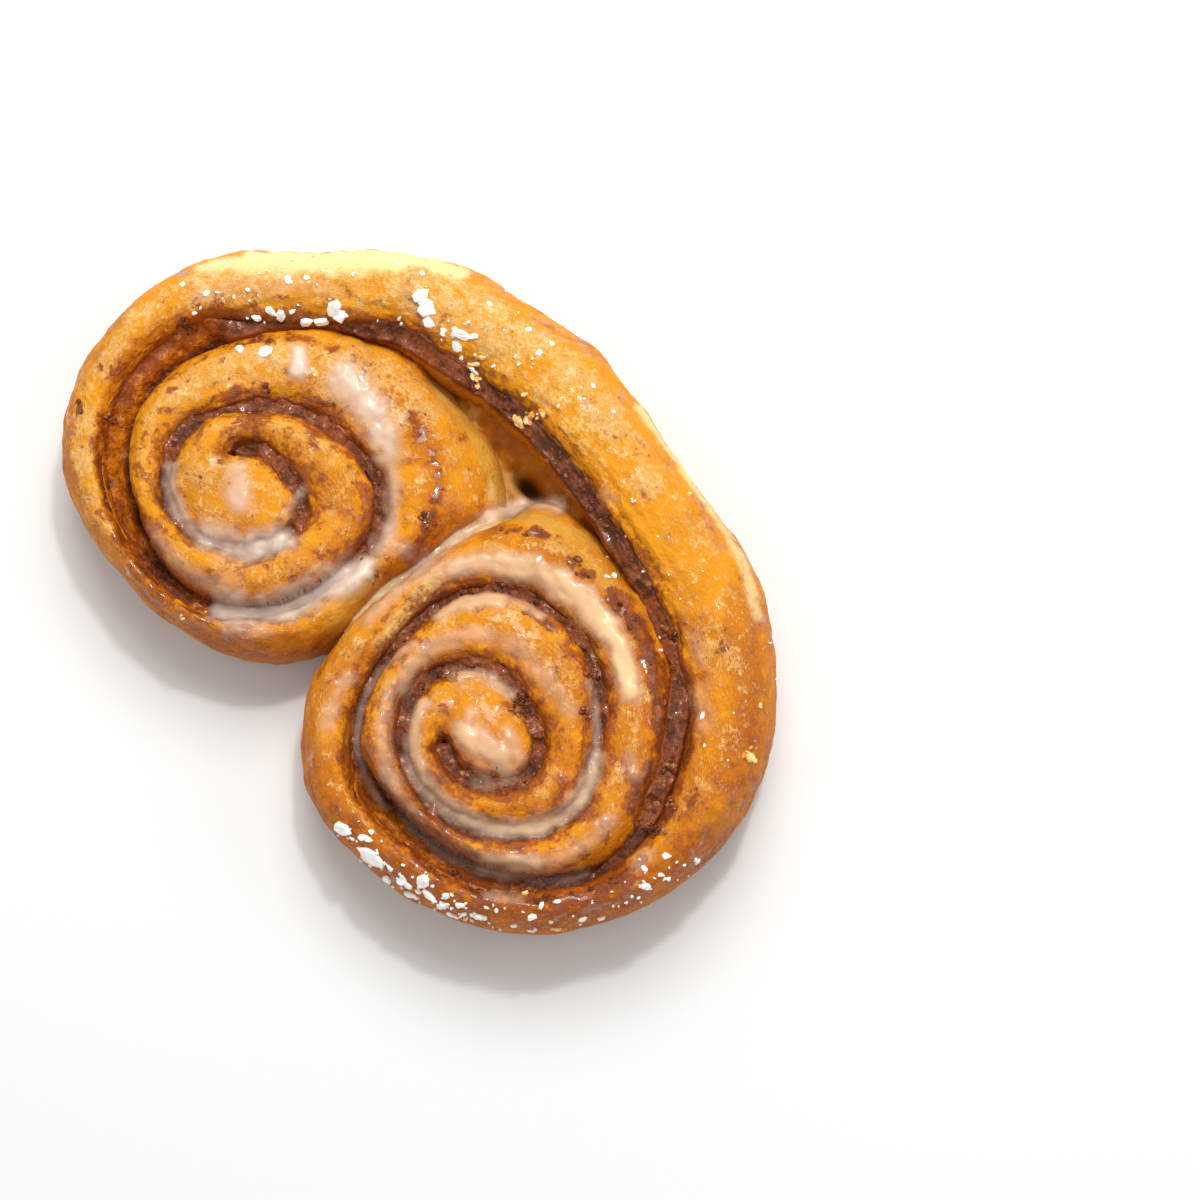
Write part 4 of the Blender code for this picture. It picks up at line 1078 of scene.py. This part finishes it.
def make_nut_grains(crust, filling, tree):
    """Chopped nuts in the filling and smeared over the crust beside it."""
    draw = np.random.default_rng(GRAIN_SEED)
    places = [scatter_over(filling, "core", GROOVE_GRAINS, draw),
              scatter_over(crust, "nutty", SMEAR_GRAINS, draw)]
    for where, angle, offset, radius, count in NUT_CLUMPS:
        middle = trail_line(where, angle, offset, angle + 1, offset)[0]
        spread = draw.normal(0.0, radius * 0.42, (count, 2)) + middle
        height = drop_heights(tree, spread[:, 0], spread[:, 1])
        heap = np.maximum(1 - np.hypot(*(spread - middle).T) / radius, 0) * 0.8
        places.append(np.column_stack((spread, height + heap * draw.random(count))))
    places = np.concatenate(places)
    places = places[places[:, 2] > LEAST_HEIGHT]
    places[:, 2] -= GRAIN_SUNK
    size = GRAIN_LEAST + GRAIN_MORE * draw.random(len(places)) ** 1.6
    fields = {"grain_size": size * MM, "shade": draw.random(len(places))}
    holder = linked("grain_places", placed_mesh("grain_places", places, (), fields))
    group, inputs = grain_group(nut_finish())
    modifier = holder.modifiers.new("grains", "NODES")
    modifier.node_group = group
    modifier[inputs["Flatness"]] = GRAIN_FLATNESS
    modifier[inputs["Seed"]] = GRAIN_SEED
    ready = holder.evaluated_get(bpy.context.evaluated_depsgraph_get())
    mesh = bpy.data.meshes.new_from_object(ready)
    bpy.data.objects.remove(holder)
    mesh.name = "chopped_nuts"
    return declare("chopped_nuts", mesh)


def grain_group(material):
    """Geometry Nodes group: an uneven grain on every point."""
    group = bpy.data.node_groups.new("grains", "GeometryNodeTree")
    face = group.interface
    for way in ("INPUT", "OUTPUT"):
        face.new_socket("Geometry", in_out=way, socket_type="NodeSocketGeometry")
    flatness = face.new_socket("Flatness", in_out="INPUT", socket_type="NodeSocketFloat")
    seed = face.new_socket("Seed", in_out="INPUT", socket_type="NodeSocketInt")
    vector = {"data_type": "FLOAT_VECTOR"}
    entry = add_node(group, "NodeGroupInput").outputs
    grain = add_node(group, "GeometryNodeMeshIcoSphere", {}, {"Radius": 1.0, "Subdivisions": 1})
    size = add_node(group, "GeometryNodeInputNamedAttribute", {"data_type": "FLOAT"},
                    {"Name": "grain_size"})
    full_turn = add_node(group, "FunctionNodeRandomValue", vector,
                         {1: GRAIN_TURN, "Seed": entry["Seed"]})
    stretch = add_node(group, "FunctionNodeRandomValue", vector,
                       {0: entry["Flatness"], 1: GRAIN_STRETCH, "Seed": entry["Seed"]})
    scale = add_node(group, "ShaderNodeVectorMath", {"operation": "SCALE"},
                     {"Vector": stretch.outputs[0], "Scale": size.outputs[0]})
    placed = add_node(group, "GeometryNodeInstanceOnPoints", {}, {
        "Points": entry["Geometry"], "Instance": grain.outputs["Mesh"],
        "Rotation": full_turn.outputs[0], "Scale": scale.outputs[0]})
    real = add_node(group, "GeometryNodeRealizeInstances", {}, {"Geometry": placed.outputs[0]})
    coloured = add_node(group, "GeometryNodeSetMaterial", {},
                        {"Geometry": real.outputs[0], "Material": material})
    add_node(group, "NodeGroupOutput", {}, {"Geometry": coloured.outputs[0]})
    return group, {"Flatness": flatness.identifier, "Seed": seed.identifier}


# Crumbs: (x, y, radius)
CRUMBS = ((68.8, 31.7, 1.1), (66.6, -15.6, 0.9), (57.0, -15.5, 0.6), (63.0, 40.6, 0.5),
          (-26.4, -24.4, 0.5), (25.0, 60.0, 0.5))


def make_crumbs(tree):
    draw = random.Random(CRUMB_SEED)
    parts = []
    for x, y, radius in CRUMBS:
        for _ in range(3):
            spot = scattered(x, y, 0.5 * radius, draw)
            add_plate(parts, tree, spot, radius * draw.uniform(1.2, 2.0), radius * 0.8, draw)
    return joined("loose_crumbs", parts, plain_finish("crumb", CRUMB_TAN, 0.7))


# ---- materials
def feed(tree, socket, value):
    """Link or value on a socket; a colour without alpha gets one."""
    value = value.socket if isinstance(value, Value) else value
    if isinstance(value, bpy.types.NodeSocket):
        tree.links.new(value, socket)
    elif isinstance(value, tuple) and len(value) < len(socket.default_value):
        socket.default_value = (*value, 1.0)
    else:
        socket.default_value = value


def add_node(tree, kind, settings=None, inputs=None):
    node = tree.nodes.new(kind)
    for key, value in (settings or {}).items():
        setattr(node, key, value)
    for key, value in (inputs or {}).items():
        feed(tree, node.inputs[key], value)
    return node


def operator(operation, swapped=False):
    """Python operator that adds a Math node."""
    def method(self, other):
        return self.math(operation, *((other, self) if swapped else (self, other)))
    return method


class Value:
    """A shader value that Python's operators can work on."""

    def __init__(self, finish, socket):
        self.finish = finish
        self.socket = socket

    def math(self, operation, *values):
        return self.finish.add("ShaderNodeMath", {"operation": operation},
                               dict(enumerate(values)))

    __add__, __radd__ = operator("ADD"), operator("ADD", True)
    __sub__, __rsub__ = operator("SUBTRACT"), operator("SUBTRACT", True)
    __mul__, __rmul__ = operator("MULTIPLY"), operator("MULTIPLY", True)

    def __abs__(self):
        return self.math("ABSOLUTE", self)

    def clamp(self):
        return self.math("MAXIMUM", self.math("MINIMUM", self, 1.0), 0.0)

    def step(self, low, high):
        """0 below low, 1 above high, smooth between."""
        return self.finish.add("ShaderNodeMapRange", {"interpolation_type": "SMOOTHSTEP"},
                               {"Value": self, "From Min": low, "From Max": high})


class Finish:
    """One material, built from expressions."""

    def __init__(self, name):
        self.material = bpy.data.materials.new(name)
        self.material.use_nodes = True
        self.tree = self.material.node_tree
        self.tree.nodes.clear()
        self.shader = add_node(self.tree, "ShaderNodeBsdfPrincipled")
        add_node(self.tree, "ShaderNodeOutputMaterial", {}, {"Surface": self.shader.outputs[0]})

    def add(self, kind, settings=None, inputs=None, output=0):
        return Value(self, add_node(self.tree, kind, settings, inputs).outputs[output])

    def set(self, **sockets):
        for key, value in sockets.items():
            feed(self.tree, self.shader.inputs[key.replace("_", " ")], value)

    def mask(self, name):
        return self.add("ShaderNodeAttribute", {"attribute_name": name}, {}, "Fac")

    def noise(self, scale, detail=3.0, roughness=0.5, distortion=0.0, over=None):
        """Uneven value around 0, over the piece unless another vector is given."""
        if over is None:
            over = self.add("ShaderNodeTexCoord", {}, {}, "Object")
        return self.add("ShaderNodeTexNoise", {}, {
            "Vector": over, "Scale": scale, "Detail": detail, "Roughness": roughness,
            "Distortion": distortion}, "Fac") - 0.5

    def colour(self, part, low, high):
        """Colour between low and high."""
        return self.add("ShaderNodeMix", {"data_type": "RGBA"},
                        {"Factor": part, 6: low, 7: high}, 2)

    def coated(self, colour, *coats):
        """A colour under coats of (how much, colour), the last one on top."""
        for part, coat in coats:
            colour = self.colour(part, colour, coat)
        return colour

    def bump(self, height, distance, strength):
        return self.add("ShaderNodeBump", {}, {"Height": height, "Distance": distance,
                                               "Strength": strength})


# noise that several finishes share, in patterns to the metre
BROAD, MIDDLING, FINE = 110.0, 380.0, 1150.0

PALE_DOUGH = (0.64, 0.33, 0.045)
PALE_YELLOW = (0.95, 0.82, 0.38)
FLECK = (0.92, 0.66, 0.32)
# Sandy crumb colour, also laid on as a painted sheen where the crust faces the key light.
SANDY_AND_SHEEN = (0.85, 0.46, 0.11)
GOLDEN = (0.74, 0.285, 0.004)
AMBER = (0.56, 0.170, 0.002)
DEEP_TOAST = (0.34, 0.064, 0.002)
RED_BROWN = (0.27, 0.052, 0.004)
CARAMEL = (0.17, 0.036, 0.006)
NUT_DARK = (0.085, 0.022, 0.007)
NUT_RED = (0.23, 0.052, 0.009)
NUT_TAN = (0.40, 0.17, 0.065)
WALL_BROWN = (0.36, 0.082, 0.003)
CREAM = (0.76, 0.60, 0.33)
CREST_CREAM = (0.66, 0.40, 0.10)
PIT_BROWN = (0.44, 0.15, 0.006)
GLAZE_THIN = (0.80, 0.56, 0.38)
GLAZE_WARM = (0.94, 0.63, 0.34)
GLAZE_MILKY = (0.84, 0.68, 0.56)
GLAZE_MAUVE = (0.50, 0.35, 0.31)
ICING_WHITE = (0.90, 0.88, 0.84)
ICING_BRIGHT = (0.98, 0.97, 0.95)
# painted shade: the dark of the deep hole under the arch
HOLE_SHADE = (0.10, 0.03, 0.004)
CRUMB_TAN = (0.86, 0.66, 0.25)
FLOOR_WHITE = (0.735, 0.738, 0.745)


def crust_finish():
    f = Finish("baked_crust")
    broad = f.noise(BROAD)
    mid = f.noise(MIDDLING, 4.0, 0.65)
    fine = f.noise(FINE, 3.0, 0.65)
    strand = f.add("ShaderNodeCombineXYZ", {}, {"X": f.mask("strip_s"),
                                                "Y": f.mask("strip_w") * 4.0})
    fibre = f.noise(BROAD, 4.0, 0.62, 0.6, strand)
    sand = f.mask("sand")
    toast = f.mask("toast") + broad * 1.4 + mid * 1.7 + fine * 0.9 + fibre * 0.8
    stain = f.mask("stain") + mid * 1.5 + fine + broad * 0.8
    clean = 1.0 - stain.step(0.16, 0.50)
    # Sandy crumb, with the painted sheen that the sand mask carries.
    crumb_and_sheen = (sand + mid * 2.6 + fine * 1.8 + fibre * 1.9 + broad * 0.8).step(0.15, 0.90)
    flecks = (fine * 2.4 + mid * 2.0 + sand * 0.45).step(0.40, 0.80)
    lines = 1.0 - abs(fibre).step(0.0, 0.022)
    nutty = (f.mask("nutty") + mid * 1.6 + fine * 0.8).step(0.45, 0.85)
    f.set(Base_Color=f.coated(
        GOLDEN,
        (toast.step(0.05, 0.60), AMBER),
        (toast.step(0.66, 1.20), DEEP_TOAST),
        (crumb_and_sheen * clean * 0.85, SANDY_AND_SHEEN),
        (flecks * clean * 0.75, FLECK),
        (lines * (0.15 + sand * 0.30), DEEP_TOAST),
        ((f.mask("pale") * (0.85 + mid * 1.5)).clamp(), PALE_DOUGH),
        (f.mask("yellow") * 0.9, PALE_YELLOW),
        (stain.step(0.22, 0.70) * 0.75, RED_BROWN),
        (stain.step(0.70, 1.15) * 0.90, CARAMEL),
        (nutty * 0.85, f.colour(fine.step(-0.08, 0.08), CARAMEL, NUT_RED))))
    # wet, glossy caramel, less of it on the flanks
    wet = broad.step(-0.07, 0.08) * mid.step(-0.04, 0.10) * 0.8 + stain.step(0.4, 0.8) * 0.8
    wet = (wet * (0.15 + 0.85 * f.mask("up").step(0.1, 0.6))).clamp()
    f.set(Roughness=0.58 + fine * 0.3 - wet * 0.42, Specular_IOR_Level=0.22, Coat_Weight=wet,
          Coat_Roughness=0.06, Coat_IOR=1.45, Subsurface_Weight=0.10, Subsurface_Scale=0.002,
          Subsurface_Radius=(1.0, 0.35, 0.08))
    height = mid * 0.45 + fine * 0.30 + (fibre + 0.5) * (0.20 + sand * 0.30)
    f.set(Normal=f.bump(height, 0.0011, 0.9))
    return f.material


def filling_finish():
    f = Finish("nut_filling_dark")
    clump = f.noise(MIDDLING, 3.0, 0.65)
    grain = f.noise(1100.0, 3.0, 0.6)
    broad = f.noise(130.0, 2.0)
    outside = (1.0 - f.mask("core") + clump * 1.2 + broad * 0.8).step(0.2, 0.8)
    wall = f.mask("wall") + broad * 1.2 + clump * 1.6
    bare = wall - 0.25 + grain * 1.6 + broad * 1.2
    f.set(Base_Color=f.coated(
        NUT_DARK,
        ((clump + broad * 0.6).step(-0.14, 0.12), NUT_RED),
        (grain.step(0.08, 0.24) * 0.55, NUT_TAN),
        (outside * 0.80, RED_BROWN),
        (wall.step(0.30, 0.80), WALL_BROWN),
        (bare.step(0.40, 0.75) * 0.85, AMBER)))
    wet = (clump.step(-0.02, 0.16) * 0.7 + wall.step(0.2, 0.8) * 0.4).clamp()
    f.set(Roughness=0.58 + grain * 0.3 - wet * 0.42, Specular_IOR_Level=0.30, Coat_Weight=wet,
          Coat_Roughness=0.06, Subsurface_Weight=0.08, Subsurface_Scale=0.002,
          Subsurface_Radius=(1.0, 0.3, 0.1), Normal=f.bump(clump * 0.65 + grain * 0.35, 0.0014, 0.9))
    return f.material


def nut_finish():
    f = Finish("chopped_nuts")
    shade = f.mask("shade")
    f.set(Base_Color=f.coated(NUT_DARK, (shade.step(0.1, 0.6), NUT_RED),
                              (shade.step(0.70, 1.0) * 0.8, NUT_TAN)),
          Roughness=0.5, Specular_IOR_Level=0.2, Coat_Weight=0.25, Coat_Roughness=0.12,
          Normal=f.bump(f.noise(1500.0, 2.0, 0.6), 0.0005, 0.8))
    return f.material


def glaze_finish():
    f = Finish("icing_glaze")
    cloud = f.noise(240.0, 2.0)
    film = f.mask("film")
    deep = f.colour(f.mask("milky"), GLAZE_WARM, GLAZE_MILKY)
    f.set(Base_Color=f.coated(GLAZE_THIN, (film.step(0.40, 0.90), deep),
                              (f.mask("sunk") * 0.6, GLAZE_MAUVE)),
          Alpha=(film + cloud * 0.25).step(-0.05, 1.25) * 0.90, Roughness=0.35,
          Specular_IOR_Level=0.30, Coat_Weight=0.35, Coat_Roughness=0.12,
          Normal=f.bump(cloud, 0.0005, 0.3))
    return f.material


def icing_finish():
    f = Finish("white_icing")
    cloud = f.noise(700.0, 2.0)
    f.set(Base_Color=f.colour(cloud + 0.5, ICING_WHITE, ICING_BRIGHT), Roughness=0.6,
          Subsurface_Weight=0.15, Subsurface_Scale=0.001, Normal=f.bump(cloud, 0.0003, 0.5))
    return f.material


def seam_finish():
    f = Finish("seam_crumb")
    broad = f.noise(160.0)
    f.set(Base_Color=f.colour(broad.step(-0.15, 0.15), CREAM, PALE_DOUGH), Roughness=0.4,
          Coat_Weight=0.6, Coat_Roughness=0.1, Subsurface_Weight=0.3, Subsurface_Scale=0.004,
          Subsurface_Radius=(1.0, 0.5, 0.25), Normal=f.bump(broad, 0.0006, 0.5))
    return f.material


def pit_finish():
    f = Finish("pit_crumb")
    broad = f.noise(200.0, 4.0)
    # The deep hole is painted dark: painted shade.
    f.set(Base_Color=f.coated(PIT_BROWN, (broad.step(-0.15, 0.15), DEEP_TOAST),
                              ((f.mask("light") + broad * 1.2).clamp() * 0.9, CREST_CREAM),
                              (f.mask("deep"), HOLE_SHADE)),
          Roughness=0.6, Specular_IOR_Level=0.2, Normal=f.bump(broad, 0.0008, 0.6))
    return f.material


def torn_finish():
    f = Finish("torn_crust")
    layer = f.noise(900.0)
    f.set(Base_Color=f.colour(layer.step(-0.10, 0.10), GOLDEN, FLECK), Roughness=0.6,
          Normal=f.bump(layer, 0.0006, 0.7))
    return f.material


def plain_finish(name, colour, roughness):
    f = Finish(name)
    f.set(Base_Color=colour, Roughness=roughness)
    return f.material


# ---- stage
CAMERA_AZIMUTH = 45.0
CAMERA_ELEVATION = 80.0
CAMERA_DISTANCE = 0.5355
CAMERA_LENS = 85.0
CAMERA_AIM = (27.7, 33.5, 26.0)
CAMERA_SENSOR = 36.0
FLOOR_REACH = 3.0
WORLD_COLOUR = (1.0, 0.985, 0.96, 1.0)
WORLD_STRENGTH = 0.60
WHITE = (1.0, 1.0, 1.0)
WARM_WHITE = (1.0, 0.98, 0.95)
# Lights: (name, azimuth, elevation, distance and size in metres, power, colour)
LIGHTS = (
    ("key", 216.0, 59.0, 0.9, 0.55, 5.6, WARM_WHITE),
    ("glint", 200.0, 66.0, 0.8, 0.06, 1.8, WARM_WHITE),
    ("rim", 140.0, 40.0, 1.0, 0.4, 0.6, WARM_WHITE),
    ("fill", 30.0, 60.0, 1.1, 0.9, 0.6, WHITE),
)


def set_up(name, data, azimuth, elevation, distance, aim=(0, 0, 0)):
    """Camera or lamp that faces a point from this direction, in metres."""
    turn, rise = math.radians(azimuth), math.radians(elevation)
    back = Vector((math.sin(turn) * math.cos(rise), -math.cos(turn) * math.cos(rise),
                   math.sin(rise)))
    item = linked(name, data)
    item.location = Vector(aim) + back * distance
    item.rotation_euler = back.to_track_quat("Z", "Y").to_euler()
    return item


def add_camera():
    camera = bpy.data.cameras.new("camera")
    camera.lens = CAMERA_LENS
    camera.sensor_width = CAMERA_SENSOR
    camera.clip_start = 0.01
    bpy.context.scene.camera = set_up("camera", camera, CAMERA_AZIMUTH, CAMERA_ELEVATION,
                                      CAMERA_DISTANCE, (np.array(CAMERA_AIM) - CENTRE) * MM)


def add_area(name, azimuth, elevation, distance, size, power, colour):
    light = bpy.data.lights.new(name, "AREA")
    light.shape = "DISK"
    light.size = size
    light.energy = power
    light.color = colour
    set_up(name, light, azimuth, elevation, distance)


def add_stage():
    scene = bpy.context.scene
    scene.view_settings.view_transform = "Standard"
    world = bpy.data.worlds.new("studio")
    world.use_nodes = True
    sky = world.node_tree.nodes["Background"].inputs
    sky["Color"].default_value = WORLD_COLOUR
    sky["Strength"].default_value = WORLD_STRENGTH
    scene.world = world
    mesh = bpy.data.meshes.new("floor")
    corners = ((-1, -1), (1, -1), (1, 1), (-1, 1))
    mesh.from_pydata([(x * FLOOR_REACH, y * FLOOR_REACH, 0) for x, y in corners], [],
                     [(0, 1, 2, 3)])
    mesh.materials.append(plain_finish("pale_floor", FLOOR_WHITE, 0.9))
    floor = linked("floor", mesh)
    for light in LIGHTS:
        add_area(*light)


# ---- build
add_camera()
add_stage()
strip, strip_distance = strip_stations(STATIONS)
crust = make_crust(strip, strip_distance)
seam = make_seam()
pit = make_pit()
filling = make_filling(strip, strip_distance)
surface = surface_tree(crust, filling, seam, pit)
make_glaze(surface)
make_icing_flakes(strip, surface)
make_crust_flakes(strip, surface)
make_nut_grains(crust, filling, surface)
make_crumbs(surface)
